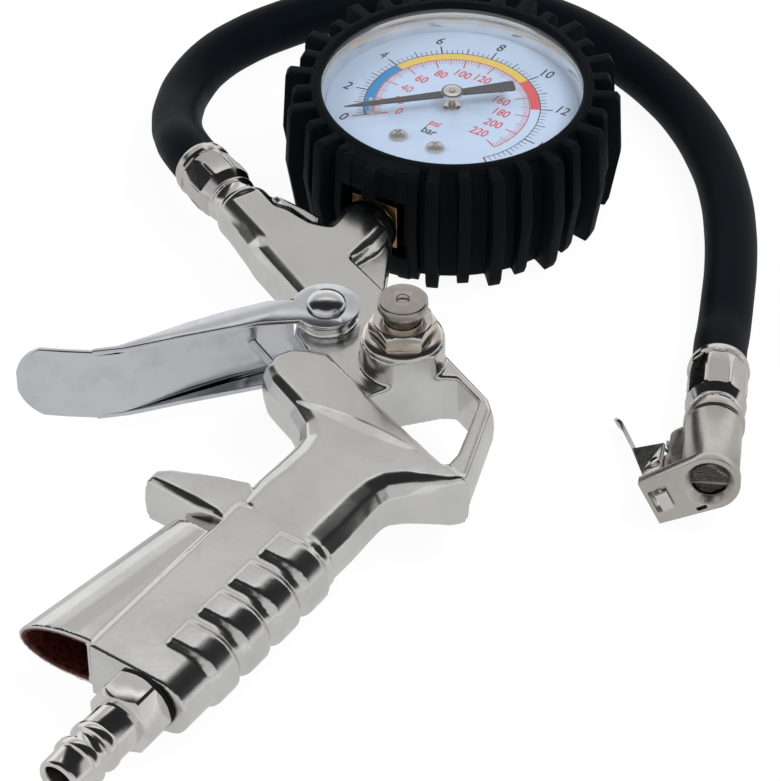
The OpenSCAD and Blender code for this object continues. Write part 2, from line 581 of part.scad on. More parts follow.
// The sector's teeth; its tail carries the link pin
tooth = 360 / 12 / gear_ratio;
tail_r = 7 * movement_scale;
tail_angle = 187.5;
module sector_gear() color([0.76, 0.63, 0.36]) translate(sector_at) {
    tube(0.8, 0, plate_low + 0.1, plate_top - 0.1);
    translate([0, 0, gear_z]) linear_extrude(1.2) difference() {
        union() {
            circle(r = 2.6);
            polygon(concat([[0, 0]], ring_at([0, 0], sector_r - 0.6, -19, 36, 12)));
            for (k = [-9:1]) rotate(28 - 2 / gear_ratio + tooth * k) translate([sector_r, 0])
                polygon([[-1.2, -0.42], [-0.45, -0.3], [0.2, -0.12], [0.2, 0.12], [-0.45, 0.3], [-1.2, 0.42]]);
            rotate(tail_angle) translate([0, -1.4]) square([tail_r, 2.8]);
            rotate(tail_angle) translate([tail_r, 0]) circle(r = 1.4);
        }
        polygon(concat(ring_at([0, 0], 4.2, -12, 26, 4), ring_at([0, 0], sector_r - 3.2, 26, -12, 8)));
        rotate(tail_angle) translate([tail_r, 0]) circle(r = 0.6 + run_gap);
    }
}
tail_at = sector_at + tail_r * [cos(tail_angle), sin(tail_angle)];
tip_at = movement_scale * [-17.6, -19.6];
link_z = gear_z + 1.6;
module movement_link() color([0.72, 0.72, 0.74]) {
    translate([tail_at[0], tail_at[1], gear_z - 0.5]) cylinder(r = 0.6, h = link_z - gear_z + 0.8);
    translate([0, 0, link_z]) linear_extrude(0.7) difference() {
        union() {
            translate(tail_at) circle(r = 1.3);
            translate(tip_at) circle(r = 1.3);
            translate(tail_at) rotate(atan2(tip_at[1] - tail_at[1], tip_at[0] - tail_at[0])) translate([0, -0.8])
                square([norm(tip_at - tail_at), 1.6]);
        }
        translate(tip_at) circle(r = 0.5);
    }
}
plate_shape = movement_scale * [[-20, -0.5], [-20.3, -8], [-16, -13.5], [-4, -21], [6, -20.8], [13, -17],
    [13.5, -9], [6, 8], [-1, 9]];
post_at = movement_scale * [[7, -18.4], [-17, -2.4], [3, 5.2]];
module movement_plates() color([0.76, 0.63, 0.36]) for (z = [plate_low, plate_high]) translate([0, 0, z])
    linear_extrude(1.2) difference() {
        polygon(plate_shape);
        circle(r = 0.8 + run_gap);
        translate(sector_at) circle(r = 0.8 + run_gap);
        for (p = post_at) translate(p) circle(r = 0.9 + fit_gap);
    }
module movement_posts() color([0.72, 0.6, 0.36]) for (p = post_at) translate(p) {
    tube(1.5, 0, plate_low + 1.22, plate_high - 0.02);
    tube(0.9, 0, plate_low, plate_top);
}
module bourdon_tube() color([0.76, 0.6, 0.38]) {
    rotate([0, 0, branch_angle + 8]) rotate_extrude(angle = 280) translate([tube_r, mid_z - 4]) difference() {
        square([2.6, 9], center = true);
        square([1.8, 8.2], center = true);
    }
    // Closed end with its lug
    rotate([0, 0, branch_angle + 287]) translate([tube_r - 2.2, -0.5, mid_z - 8.7]) cube([3.7, 4.5, 9.4]);
    translate([0, 0, gear_z + 0.2]) linear_extrude(1.1) {
        translate(tip_at) circle(r = 1.5);
        translate(tip_at) rotate(atan2(tip_at[1], tip_at[0])) translate([-1, -1.5]) square([2.6, 3]);
    }
}
module gauge_stem() color([0.72, 0.62, 0.42]) rotate([0, 0, branch_angle]) difference() {
    union() {
        // Square bar out through the case and the boot
        translate([case_in - 2.7, -stem_half, mid_z - stem_half])
            cube([stem_out - 0.6 - case_in + 2.7, 2 * stem_half, 2 * stem_half]);
        // Block in the case that holds the tube and the movement
        translate([case_in - 10.6, -stem_half, case_z + case_wall + fit_gap]) cube([9.4, 2 * stem_half, 15.5]);
        translate([case_in - 18.7, -stem_half, case_z + case_wall + fit_gap])
            cube([9, 2 * stem_half, plate_low - case_z - case_wall - 2 * fit_gap]);
        translate([stem_out - 1, 0, mid_z]) rotate([0, 90, 0]) cylinder(r = stem_thread_r, h = stem_thread_len + 0.5);
    }
    translate([case_in - 5.2, 0, mid_z]) rotate([0, 90, 0]) cylinder(r = 1.6, h = 30);
    // Slot that takes the start of the tube
    rotate([0, 0, asin(1.5 / tube_r)]) rotate_extrude(angle = 20) translate([tube_r, mid_z - 4])
        square([2.64, 9.04], center = true);
}
module stem_seal() color([0.08, 0.08, 0.08]) lay([0, 0], branch_angle)
    tube(6, stem_thread_r + fit_gap, stem_out - 0.58, stem_out - 0.02);

// ---- Inlet plug ----

module inlet_plug() color([0.8, 0.78, 0.74]) lay(grip_end, grip_angle) difference() {
    union() {
        intersection() {
            translate([0, 0, 1.1]) rotate([0, 0, 30]) hex(plug_hex_af, 7.6);
            rotate_extrude() polygon([[0, 1.1], [plug_hex_af / 2, 1.1], [plug_hex_af / 2 + 0.9, 2],
                [plug_hex_af / 2 + 0.9, 7.6], [plug_hex_af / 2, 8.7], [0, 8.7]]);
        }
        rotate_extrude() polygon([[0, -plug_thread_len], [plug_thread_r - 0.6, -plug_thread_len],
            [plug_thread_r, -plug_thread_len + 0.6], [plug_thread_r, 1.2], [shank_r + 1, 1.2], [shank_r + 1, 14.8],
            [collar_r - 0.3, 15.1], [collar_r, 15.5], [collar_r, 17], [shank_r + 0.2, 17.8], [shank_r + 0.2, 19.8],
            [collar_r - 0.3, 20.2], [collar_r, 20.5], [collar_r, 22.3], [shank_r + 0.6, 22.9], [shank_r + 0.6, 27.6],
            [shank_r + 0.1, 28.2], [0, 28.2]]);
    }
    translate([0, 0, -plug_thread_len - 1]) cylinder(r = passage_r, h = 30);
    translate([0, 0, 2]) cylinder(r = plug_bore_r, h = 30);
}
module plug_seal() color([0.1, 0.1, 0.1]) lay(grip_end, grip_angle) tube(plug_hex_af / 2, plug_thread_r + fit_gap, 0.03, 1.07);

// ---- Hose fittings ----

crimp_in = 12;
barb_r = 2.9;
// Crimped sleeve with eight flats, from height 0 at the hose to its closed end
module ferrule(length) difference() {
    intersection() {
        rotate_extrude() polygon([[0, 0], [ferrule_r - 0.5, 0], [ferrule_r - 0.2, 0.8], [ferrule_r, 2.4],
            [ferrule_r - 0.3, 4], [ferrule_r + 0.1, length * 0.5], [ferrule_r, length - 3], [ferrule_r - 0.9, length - 1],
            [ferrule_r - 1.4, length], [0, length]]);
        union() {
            cylinder(r = ferrule_r + 1, h = 3.2);
            rotate([0, 0, 22.5]) cylinder(r = (ferrule_r - 0.15) / cos(22.5), h = length, $fn = 8);
        }
    }
    translate([0, 0, -1]) cylinder(r = hose_r + fit_gap, h = crimp_in + 1.1);
    cylinder(r = barb_r + 0.3, h = length + 1);
}
gun_hose_x = barrel_front_x - ferrule_gap - ferrule_len;
module gun_ferrule() color([0.78, 0.76, 0.72]) lay([gun_hose_x, barrel_y], 0) ferrule(ferrule_len);
// Insert: barbed tail in the hose, ring against the ferrule, thread
module insert(from, to, neck) difference() {
    rotate_extrude() polygon([[0, 2], [barb_r - 0.5, 2], [barb_r, 4.5], [barb_r - 0.3, 4.5], [barb_r, 7], [barb_r - 0.3, 7],
        [barb_r, 9.5], [barb_r - 0.2, 9.5], [barb_r - 0.2, from - 0.5], [barb_r + 0.28, from - 0.5],
        [barb_r + 0.28, from + 0.02], [neck - 0.4, from + 0.02], [neck, from + 0.4], [neck, from + 0.9],
        [neck - 0.8, from + 1.2], [neck - 0.8, to - 1.3], [neck, to - 1], [neck, to - 0.02], [insert_bore_r - 0.05, to - 0.02],
        [insert_bore_r - 0.05, to + insert_thread_len - 0.6], [insert_bore_r - 0.6, to + insert_thread_len],
        [0, to + insert_thread_len]]);
    translate([0, 0, -1]) cylinder(r = 1.9, h = to + insert_thread_len + 3);
}
module gun_insert() color([0.8, 0.78, 0.74]) lay([gun_hose_x, barrel_y], 0) insert(ferrule_len, ferrule_len + ferrule_gap, 6.4);

// ---- Hose ----

chuck_at = [97.2, 11.4, 8.2];
chuck_turn = -39.2;
chuck_tilt = 7.2;
chuck_dir = [cos(chuck_tilt) * cos(chuck_turn), cos(chuck_tilt) * sin(chuck_turn), sin(chuck_tilt)];
lie_z = hose_r + 0.05;
hose_route = [
    chuck_at + crimp_in * chuck_dir, chuck_at + 6 * chuck_dir, chuck_at,
    chuck_at - 7 * chuck_dir + [0, 0, 0.3], [86.2, 20.9, lie_z], [77.4, 28.5, lie_z], [68, 36.3, lie_z], [57, 44.3, lie_z],
    [43.8, 52.2, lie_z], [29.8, 58.1, lie_z], [15.6, 61.9, lie_z], [1.8, 63.3, lie_z], [-12, 62.8, lie_z],
    [-26, 60.6, lie_z], [-40, 55.5, lie_z], [-53, 47, lie_z], [-63, 36, lie_z], [-70, 23, lie_z], [-73.8, 9, lie_z],
    [-74.7, -4.6, lie_z], [-74, -16.2, lie_z], [-70.6, -28.4, lie_z], [-63.8, -39, lie_z + 0.2], [-56, -46.2, lie_z + 1.2],
    [-48, -51.2, lie_z + 3.4], [-40, -54.8, lie_z + 6.2], [-32, -57.4, mid_z - 1], [gun_hose_x, barrel_y, mid_z],
    [gun_hose_x + 6, barrel_y, mid_z], [gun_hose_x + crimp_in, barrel_y, mid_z]];
hose_sides = 12;
// A square frame across the route at point i: its two cross directions
function route_dir(i) = let (n = len(hose_route)) unit(hose_route[min(i + 1, n - 1)] - hose_route[max(i - 1, 0)]);
function hose_ring(i, r) = let (d = route_dir(i), across = unit([d[1], -d[0], 0]), up = cross(across, d))
    [for (k = [0:hose_sides - 1]) hose_route[i] + r * (cos(360 * k / hose_sides) * across + sin(360 * k / hose_sides) * up)];
module hose() color([0.06, 0.06, 0.065]) {
    n = len(hose_route);
    m = hose_sides;
    points = concat([for (i = [0:n - 1]) for (p = hose_ring(i, hose_r)) p], [for (i = [0:n - 1]) for (p = hose_ring(i, hose_bore_r)) p]);
    outer = [for (i = [0:n - 2]) for (k = [0:m - 1]) let (j = (k + 1) % m) [i * m + k, i * m + j, (i + 1) * m + j, (i + 1) * m + k]];
    inner = [for (f = outer) [f[3] + n * m, f[2] + n * m, f[1] + n * m, f[0] + n * m]];
    start = [for (k = [0:m - 1]) let (j = (k + 1) % m) [k, k + n * m, j + n * m, j]];
    finish = [for (k = [0:m - 1]) let (j = (k + 1) % m, e = (n - 1) * m) [e + k, e + j, e + j + n * m, e + k + n * m]];
    polyhedron(points, concat(outer, inner, start, finish), convexity = 10);
}

// ---- Tyre chuck ----

// Children drawn up the local Z axis come to lie along the chuck, from its hose end
module at_chuck() translate(chuck_at) rotate([0, 0, chuck_turn]) rotate([0, 90 - chuck_tilt, 0]) children();
chuck_ferrule_end = 18.5;
body_z = chuck_ferrule_end + 3;
mouth_z = body_z + chuck_len;
// Turned so that local X runs out along the chuck's lug
module at_lug() at_chuck() rotate([0, 0, -lug_turn]) children();
lug_turn = 62;
lug_len = 14.8;
lug_w = 5.9;
lug_t = 3;
module chuck_ferrule() color([0.78, 0.76, 0.72]) at_chuck() ferrule(chuck_ferrule_end);
module chuck_insert() color([0.8, 0.78, 0.74]) at_chuck() insert(chuck_ferrule_end, body_z, 6.2);
// Pin of the clip, across the lug: distance out from the chuck's axis, and height along it
clip_pin_at = [12.8, mouth_z - 12];
clip_pin_r = 1.2;
web_half = 1.6;
module chuck_body() color([0.74, 0.71, 0.66]) at_lug() difference() {
    union() {
        rotate_extrude() polygon([[0, body_z], [chuck_r - 0.6, body_z], [chuck_r, body_z + 0.6], [chuck_r, body_z + 3],
            [chuck_r - 0.5, body_z + 3.6], [chuck_r - 0.5, mouth_z - 2], [chuck_r - 0.1, mouth_z - 1.4],
            [chuck_r - 0.1, mouth_z - 0.4], [chuck_r - 0.5, mouth_z], [0, mouth_z]]);
        // Flat lug at the mouth
        translate([0, 0, mouth_z - lug_t]) linear_extrude(lug_t) union() {
            polygon([[0, -chuck_r + 0.1], [lug_len, -lug_w], [lug_len, lug_w], [0, chuck_r - 0.1]]);
            circle(r = chuck_r - 0.1);
        }
        // Web from the barrel out to the clip's pin
        translate([0, web_half, 0]) rotate([90, 0, 0]) linear_extrude(2 * web_half) polygon(concat(
            [[3, mouth_z - 2.5], [3, body_z + 0.8], [7.5, body_z + 0.8]],
            ring_at([8, body_z + 3], 2.2, -60, 0, 4), [[10.2, clip_pin_at[1] - 3.2], [13, clip_pin_at[1] - 2.6]],
            ring_at([clip_pin_at[0], clip_pin_at[1]], 2.4, -60, 60, 6), [[10.2, clip_pin_at[1] + 3.2], [10.2, mouth_z - 2.5]]));
    }
    // Bore for the insert, bore for the tyre valve and its bevelled mouth
    translate([0, 0, body_z - 1]) cylinder(r = insert_bore_r, h = insert_thread_len + 1.2);
    translate([0, 0, body_z + 1]) cylinder(r = 2, h = chuck_len);
    translate([0, 0, mouth_z - 12]) cylinder(r = mouth_r, h = 14);
    translate([0, 0, mouth_z - 1.7]) cylinder(r1 = mouth_r, r2 = mouth_r + 1.75, h = 1.75);
    // Slots in the lug: the claw's, and a narrow one
    translate([10.7, -2.9, mouth_z - lug_t - 1]) cube([3, 5.8, lug_t + 2]);
    translate([3, 4.9, mouth_z - lug_t - 1]) cube([2.4, 0.9, lug_t + 2]);
    translate([clip_pin_at[0], 0, clip_pin_at[1]]) rotate([90, 0, 0])
        cylinder(r = clip_pin_r + fit_gap, h = 20, center = true);
}
module chuck_seal() color([0.1, 0.1, 0.1]) at_chuck() tube(mouth_r - fit_gap, 2.2, mouth_z - 11.97, mouth_z - 9.6);
module chuck_pin() color([0.78, 0.76, 0.72]) at_chuck() {
    difference() {
        tube(mouth_r - fit_gap, 0, mouth_z - 9.57, mouth_z - 8.4);
        for (a = [0:120:240]) rotate([0, 0, a]) translate([2.6, 0, mouth_z - 12]) cylinder(r = 0.9, h = 6);
    }
    translate([0, 0, mouth_z - 9]) cylinder(r = 0.9, h = 3.8);
}
// Sheet clip: two cheeks beside the web, a spine that runs on as the thumb blade, and a claw
cheek_half = web_half + 0.15 + clip_t;
// Spine and thumb blade, outer face, from the lug backwards: [distance out, height along the axis]
spine = [[14.6, mouth_z - 4.2], [16.2, mouth_z - 10], [19.3, mouth_z - 20.5], [22.2, mouth_z - 29.5], [24, mouth_z - 32.6]];
function spine_in(i) = let (n = len(spine), d = unit(spine[min(i + 1, n - 1)] - spine[max(i - 1, 0)])) spine[i] + clip_t * [d[1], -d[0]];
module clip_side(half, shape) translate([0, half, 0]) rotate([90, 0, 0]) linear_extrude(2 * half) polygon(shape);
module chuck_clip() color([0.72, 0.7, 0.68]) at_lug() difference() {
    union() {
        difference() {
            clip_side(cheek_half, [[10.9, mouth_z - 18.4], [11.4, mouth_z - 9], [13.4, mouth_z - 4.6], spine[0], spine[1], spine[2]]);
            clip_side(cheek_half - clip_t, [[9, mouth_z - 24], [9, mouth_z - 3], spine_in(0) + [0, 2], spine_in(0), spine_in(1),
                spine_in(2), spine_in(2) + [1, -4]]);
        }
        // Blade, tapered towards its tip
        intersection() {
            clip_side(6, concat([(spine[1] + 3 * spine[2]) / 4], [for (i = [2:4]) spine[i]],
                [for (i = [4:-1:2]) spine_in(i)], [(spine_in(1) + 3 * spine_in(2)) / 4]));
            translate([0, 0, mouth_z]) rotate([0, 90, 0]) linear_extrude(40) polygon([[15, -cheek_half], [15, cheek_half],
                [20.5, 1.9], [25, 0], [31, -1.6], [33.4, -2.4], [33.4, -4], [31, -4.6], [25, -4.4], [20.5, -cheek_half]]);
        }
        // Claw, through the slot and bent towards the mouth
        clip_side(2.3, [[11.9, mouth_z - 8], [14.2, mouth_z - 6.4], [14, mouth_z - 5.4], [12.3, mouth_z - 5.4], [12.3, mouth_z + 0.9],
            [11.9, mouth_z + 1.3], [9.4, mouth_z + 1], [9.4, mouth_z + 0.3], [11.4, mouth_z + 0.4], [11.4, mouth_z - 7.2]]);
    }
    translate([clip_pin_at[0], 0, clip_pin_at[1]]) rotate([90, 0, 0])
        cylinder(r = clip_pin_r + run_gap, h = 20, center = true);
    translate([11, -web_half - 0.15, mouth_z - 15.5]) cube([4.6, 2 * web_half + 0.3, 7]);
}
module clip_pin() color([0.78, 0.77, 0.75]) at_lug() translate([clip_pin_at[0], cheek_half + 0.5, clip_pin_at[1]])
    rotate([90, 0, 0]) cylinder(r = clip_pin_r, h = 2 * cheek_half + 1);
// Spring between the web's outer edge and the inside of the blade
clip_spring_len = 6.8;
module clip_spring() color([0.35, 0.5, 0.52]) at_lug() translate([10.22, 0, mouth_z - 20.2]) rotate([0, 69, 0])
    coil(1.25, 0.35, clip_spring_len, 5);

gun_body();
trigger_lever();
pivot_screw();
pivot_clip();
valve_pin();
gland_nut();
pin_seal();
valve_seat();
valve_spring();
release_button();
release_nut();
release_washer();
release_spring();
release_seal();
gauge_boot();
gauge_case();
gauge_bezel();
gauge_lens();
gauge_dial();
dial_screws();
gauge_pointer();
pinion_arbor();
sector_gear();
movement_link();
movement_plates();
movement_posts();
bourdon_tube();
gauge_stem();
stem_seal();
inlet_plug();
plug_seal();
gun_ferrule();
gun_insert();
hose();
chuck_ferrule();
chuck_insert();
chuck_body();
chuck_seal();
chuck_pin();
chuck_clip();
clip_pin();
clip_spring();
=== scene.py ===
# Dressed model of the pistol tyre inflator with a dial gauge.
import math

import bpy
from mathutils import Matrix, Vector


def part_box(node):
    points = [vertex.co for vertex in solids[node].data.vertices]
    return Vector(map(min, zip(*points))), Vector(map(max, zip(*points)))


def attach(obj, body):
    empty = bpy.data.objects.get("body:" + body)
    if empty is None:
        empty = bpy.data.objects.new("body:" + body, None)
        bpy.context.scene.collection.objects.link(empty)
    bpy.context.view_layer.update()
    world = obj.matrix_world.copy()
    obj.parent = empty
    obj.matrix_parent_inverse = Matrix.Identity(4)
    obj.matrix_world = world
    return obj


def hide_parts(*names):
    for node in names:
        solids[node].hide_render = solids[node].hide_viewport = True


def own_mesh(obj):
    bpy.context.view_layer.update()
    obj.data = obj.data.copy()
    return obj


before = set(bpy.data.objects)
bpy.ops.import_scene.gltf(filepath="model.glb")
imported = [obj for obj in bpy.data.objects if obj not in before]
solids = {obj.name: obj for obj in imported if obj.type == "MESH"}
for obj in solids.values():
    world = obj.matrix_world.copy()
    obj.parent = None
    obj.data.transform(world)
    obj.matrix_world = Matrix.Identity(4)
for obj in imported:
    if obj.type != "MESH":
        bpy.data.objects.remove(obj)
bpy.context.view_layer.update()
mm = 0.001
gauge_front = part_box("gauge_dial")[1].z
# In millimetres: the gun's middle plane, the barrel's line, and where the two ferrules start
mid_z, barrel_y = 16.5, -58.5
gun_place, chuck_place = (-23, barrel_y, mid_z), (97.2, 11.4, 8.2)
# In degrees, about the upright axis
branch_angle = -62


# ---- Camera and lamps ----

def set_camera():
    bpy.ops.object.camera_add(
        location=(0.55796, -0.3666, 0.53187),
        rotation=(math.radians(48.06), 0, math.radians(58)))
    camera = bpy.context.object
    camera.data.sensor_width = 36
    camera.data.lens = 156.7
    camera.data.clip_start = 0.05
    camera.data.clip_end = 20
    bpy.context.scene.camera = camera


def set_lamp(name, place, aim, size, power):
    bpy.ops.object.light_add(type="AREA", location=place)
    lamp = bpy.context.object
    lamp.name = name
    lamp.data.shape = "RECTANGLE"
    lamp.data.size, lamp.data.size_y = size
    lamp.data.energy = power
    lamp.visible_glossy = False
    lamp.rotation_euler = (Vector(aim) - Vector(place)).to_track_quat("-Z", "Y").to_euler()


set_camera()
view_settings = bpy.context.scene.view_settings
view_settings.view_transform = "Standard"


# ---- Hose ----

# Height of the hose's middle where it lies on the ground
lie = 6.45
hose_route = [
    (106.424, 3.886, 9.704), (101.813, 7.638, 8.952), chuck_place, (91.818, 15.789, 7.622),
    (86.2, 20.9, lie), (77.4, 28.5, lie), (68, 36.3, lie), (57, 44.3, lie), (43.8, 52.2, lie),
    (29.8, 58.1, lie), (15.6, 61.9, lie), (1.8, 63.3, lie), (-12, 62.8, lie), (-26, 60.6, lie),
    (-40, 55.5, lie), (-53, 47, lie), (-63, 36, lie), (-70, 23, lie), (-73.8, 9, lie),
    (-74.7, -4.6, lie), (-74, -16.2, lie), (-70.6, -28.4, lie), (-63.8, -39, lie + 0.2),
    (-56, -46.2, lie + 1.2), (-48, -51.2, lie + 3.4), (-40, -54.8, lie + 6.2), (-32, -57.4, 15.5),
    gun_place, (-17, barrel_y, mid_z), (-11, barrel_y, mid_z)]
hose_route.reverse()


def run_hose():
    bpy.ops.object.select_all(action="DESELECT")
    bpy.ops.curve.primitive_bezier_curve_add()
    hose = bpy.context.object
    hose.name = "air_hose"
    line = hose.data.splines[0]
    line.bezier_points.add(len(hose_route) - 2)
    for knot, place in zip(line.bezier_points, hose_route):
        knot.co = Vector(place) * mm
        knot.handle_left_type = knot.handle_right_type = "AUTO"
    hose.data.resolution_u = 6
    hose.data.bevel_depth = 6.4 * mm
    hose.data.bevel_resolution = 8
    hose.data.use_fill_caps = True
    return hose


hose = run_hose()


# ---- Ways of shaping a piece ----

def pick(*things):
    bpy.ops.object.select_all(action="DESELECT")
    for thing in things:
        thing.select_set(True)
    bpy.context.view_layer.objects.active = things[0]


def edit(thing, select="SELECT"):
    pick(thing)
    bpy.ops.object.mode_set(mode="EDIT")
    bpy.ops.mesh.select_all(action=select)


def done():
    bpy.ops.object.mode_set(mode="OBJECT")


def settle(thing):
    pick(thing)
    bpy.ops.object.transform_apply(location=True, rotation=True, scale=True)
    return thing


def named(thing, name):
    thing.name = thing.data.name = name
    return thing


def smooth(thing, angle=30):
    pick(thing)
    bpy.ops.object.shade_smooth_by_angle(angle=math.radians(angle))
    return thing


def use(thing, kind, **settings):
    """Adds a modifier, sets it and applies it."""
    pick(thing)
    step = thing.modifiers.new(kind.title(), kind)
    for key, value in settings.items():
        setattr(step, key, value)
    bpy.ops.object.modifier_apply(modifier=step.name)
    return thing


def weld(thing):
    edit(thing)
    bpy.ops.mesh.remove_doubles(threshold=2e-6)
    done()
    return thing


def copied(name, label):
    """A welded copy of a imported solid."""
    thing = bpy.data.objects.new(label, solids[name].data.copy())
    bpy.context.collection.objects.link(thing)
    pick(thing)
    bpy.ops.mesh.customdata_custom_splitnormals_clear()
    weld(thing)
    edit(thing)
    bpy.ops.mesh.dissolve_limited(angle_limit=math.radians(0.6))
    done()
    return thing


def eased(thing, width, segments=2, angle=28, held=False):
    """Rounds every edge that turns by more than the angle."""
    use(thing, "BEVEL", width=width * mm, segments=segments, limit_method="ANGLE",
        angle_limit=math.radians(angle), use_clamp_overlap=held, loop_slide=False)
    return smooth(thing, 32)


def skinned(thing, grain, passes, keep=1.0):
    """Draws a solid over in one even skin with soft corners, as a casting has."""
    use(thing, "TRIANGULATE")
    use(thing, "REMESH", mode="VOXEL", voxel_size=grain * mm, adaptivity=0)
    use(thing, "SMOOTH", factor=0.5, iterations=passes)
    if keep < 1:
        use(thing, "DECIMATE", ratio=keep)
    return smooth(thing, 60)


def edge_from(label, points):
    """A chain of edges through the points, in millimetres."""
    bpy.ops.object.select_all(action="DESELECT")
    bpy.ops.mesh.primitive_circle_add(vertices=max(3, len(points)), fill_type="NOTHING")
    thing = named(bpy.context.object, label)
    edit(thing, "DESELECT")
    done()
    last = len(points) - 1
    if last == 1:
        thing.data.vertices[2].select = True
    else:
        for side in thing.data.edges:
            side.select = set(side.vertices) == {0, last}
    for corner, place in zip(thing.data.vertices, points):
        corner.co = Vector(place) * mm
    bpy.ops.object.mode_set(mode="EDIT")
    if last == 1:
        bpy.ops.mesh.delete(type="VERT")
    else:
        bpy.ops.mesh.select_mode(type="EDGE")
        bpy.ops.mesh.delete(type="EDGE_FACE")
        bpy.ops.mesh.select_mode(type="VERT")
    done()
    return thing


def spun(label, profile, steps=48, centre=(0, 0, 0)):
    """Turns a profile of (x, y, z) points once round an upright axis."""
    thing = edge_from(label, profile)
    edit(thing)
    bpy.ops.mesh.spin(steps=steps, angle=math.radians(360), center=Vector(centre) * mm, axis=(0, 0, 1))
    done()
    weld(thing)
    edit(thing)
    bpy.ops.mesh.normals_make_consistent(inside=False)
    done()
    return smooth(thing, 35)


def cut(thing, place, size, turn=0):
    """Takes a block out of a piece. Its centre and size are in millimetres."""
    bpy.ops.object.select_all(action="DESELECT")
    bpy.ops.mesh.primitive_cube_add(size=1, location=Vector(place) * mm, rotation=(0, 0, math.radians(turn)),
                                    scale=Vector(size) * mm)
    block = settle(bpy.context.object)
    use(thing, "BOOLEAN", operation="DIFFERENCE", object=block, solver="EXACT")
    bpy.data.objects.remove(block)


def joined(label, things):
    pick(*things)
    bpy.ops.object.join()
    return named(bpy.context.object, label)


# ---- Finishes ----

class Value:
    """A socket of a material. Sums on it add Math nodes."""

    def __init__(self, finish, socket):
        self.finish, self.socket = finish, socket

    def maths(self, operation, *values):
        return self.finish.node("Math", {"operation": operation}, *values)

    def __add__(self, other):
        return self.maths("ADD", self, other)

    def __rsub__(self, other):
        return self.maths("SUBTRACT", other, self)

    def __mul__(self, other):
        return self.maths("MULTIPLY", self, other)

    def __pow__(self, other):
        return self.maths("POWER", self, other)

    __radd__, __rmul__ = __add__, __mul__

    def between(self, low, high, out_low=0.0, out_high=1.0):
        """Low becomes out_low and high becomes out_high, smoothly, and no further."""
        return self.finish.node("MapRange", {"interpolation_type": "SMOOTHSTEP"},
                                self, low, high, out_low, out_high)


class Mixture:
    def __init__(self, tree):
        self.tree = tree

    def put(self, socket, value):
        if isinstance(value, Value):
            self.tree.links.new(value.socket, socket)
        elif isinstance(value, (tuple, list)) and len(value) == 3 and socket.type == "RGBA":
            socket.default_value = (*value, 1)
        else:
            socket.default_value = value

    def node(self, kind, settings=None, *values, out=0, **by_name):
        made = self.tree.nodes.new("ShaderNode" + kind)
        for key, value in (settings or {}).items():
            if key == "stops":
                ramp = made.color_ramp
                while len(ramp.elements) < len(value):
                    ramp.elements.new(0.5)
                for stop, (place, colour) in zip(ramp.elements, value):
                    stop.position, stop.color = place, (*colour, 1)
            else:
                setattr(made, key, value)
        for socket, value in zip(made.inputs, values):
            self.put(socket, value)
        for key, value in by_name.items():
            self.put(made.inputs[key.replace("_", " ")], value)
        return Value(self, made.outputs[out])

    def blend(self, factor, a, b):
        made = self.tree.nodes.new("ShaderNodeMix")
        made.data_type = "RGBA"
        for socket, value in zip((made.inputs[0], made.inputs[6], made.inputs[7]), (factor, a, b)):
            self.put(socket, value)
        return Value(self, made.outputs[2])


class Finish(Mixture):
    def __init__(self, name, **constants):
        self.material = bpy.data.materials.new(name)
        self.material.use_nodes = True
        super().__init__(self.material.node_tree)
        self.shader = self.tree.nodes["Principled BSDF"]
        for key, value in constants.items():
            self.put(self.shader.inputs[key.replace("_", " ")], value)

    def place(self):
        return self.node("TexCoord", out=3)

    def stretched(self, scale, turn=(0, 0, 0)):
        return self.node("Mapping", None, Vector=self.place(), Rotation=turn, Scale=scale)

    def noise(self, scale, detail=3.0, roughness=0.5, where=None):
        return self.node("TexNoise", None, Vector=where or self.place(), Scale=scale, Detail=detail,
                         Roughness=roughness)

    def relief(self, height, distance):
        return self.node("Bump", None, Height=height, Distance=distance * mm, Strength=1.0)

    def give(self, **sockets):
        for key, value in sockets.items():
            self.put(self.shader.inputs[key.replace("_", " ")], value)
        return self.material


def inside(value, low, high, soft):
    """One between low and high, and nothing outside them. Lengths in millimetres."""
    return value.between((low - soft) * mm, low * mm) * value.between(high * mm, (high + soft) * mm, 1.0, 0.0)


def bare_hollow(f):
    """One in the hollow of the front shell, where the plating is thin and brown."""
    point = f.node("VectorMath", {"operation": "SUBTRACT"}, f.place(), (0.11066, -0.16038, 0.0165))
    across = f.node("VectorMath", {"operation": "DOT_PRODUCT"}, point, (0.9659, 0.2588, 0), out=1)
    along = f.node("VectorMath", {"operation": "DOT_PRODUCT"}, point, (0.2588, -0.9659, 0), out=1)
    height = f.node("SeparateXYZ", None, point, out=2)
    deep = across.maths("MINIMUM", across + 4 * mm, 0.0) * (1 / (12.6 * mm))
    tall = height * (1 / (5.8 * mm))
    round_end = (deep * deep + tall * tall).between(0.93, 1.07, 1.0, 0.0)
    return round_end * inside(across, -18, -1.1, 0.3) * inside(along, -34.4, 6, 0.3)


def cast_nickel(name, light, dark, rough, grain, brown_hollow=False):
    """Nickel over a cast zinc skin: satin, with soft clouds and a fine orange peel."""
    f = Finish(name, Metallic=1.0, IOR=1.6)
    clouds = f.noise(60, 4, 0.6)
    fine = f.noise(900, 2, 0.6)
    peel = f.noise(2600, 2, 0.5)
    colour = f.blend(clouds.between(0.35, 0.7), light, dark)
    height = fine * 0.6 + peel * 0.4
    satin = clouds.between(0.3, 0.75, rough, rough + 0.09) + fine * 0.05
    if brown_hollow:
        hollow = bare_hollow(f)
        brown = f.blend(fine.between(0.35, 0.65), (0.035, 0.008, 0.005), (0.13, 0.022, 0.012))
        colour = f.blend(hollow, colour, brown)
        satin = satin + hollow * 0.25
        f.give(Metallic=1 - hollow * 0.6)
    return f.give(Base_Color=colour, Roughness=satin, Normal=f.relief(height, grain))


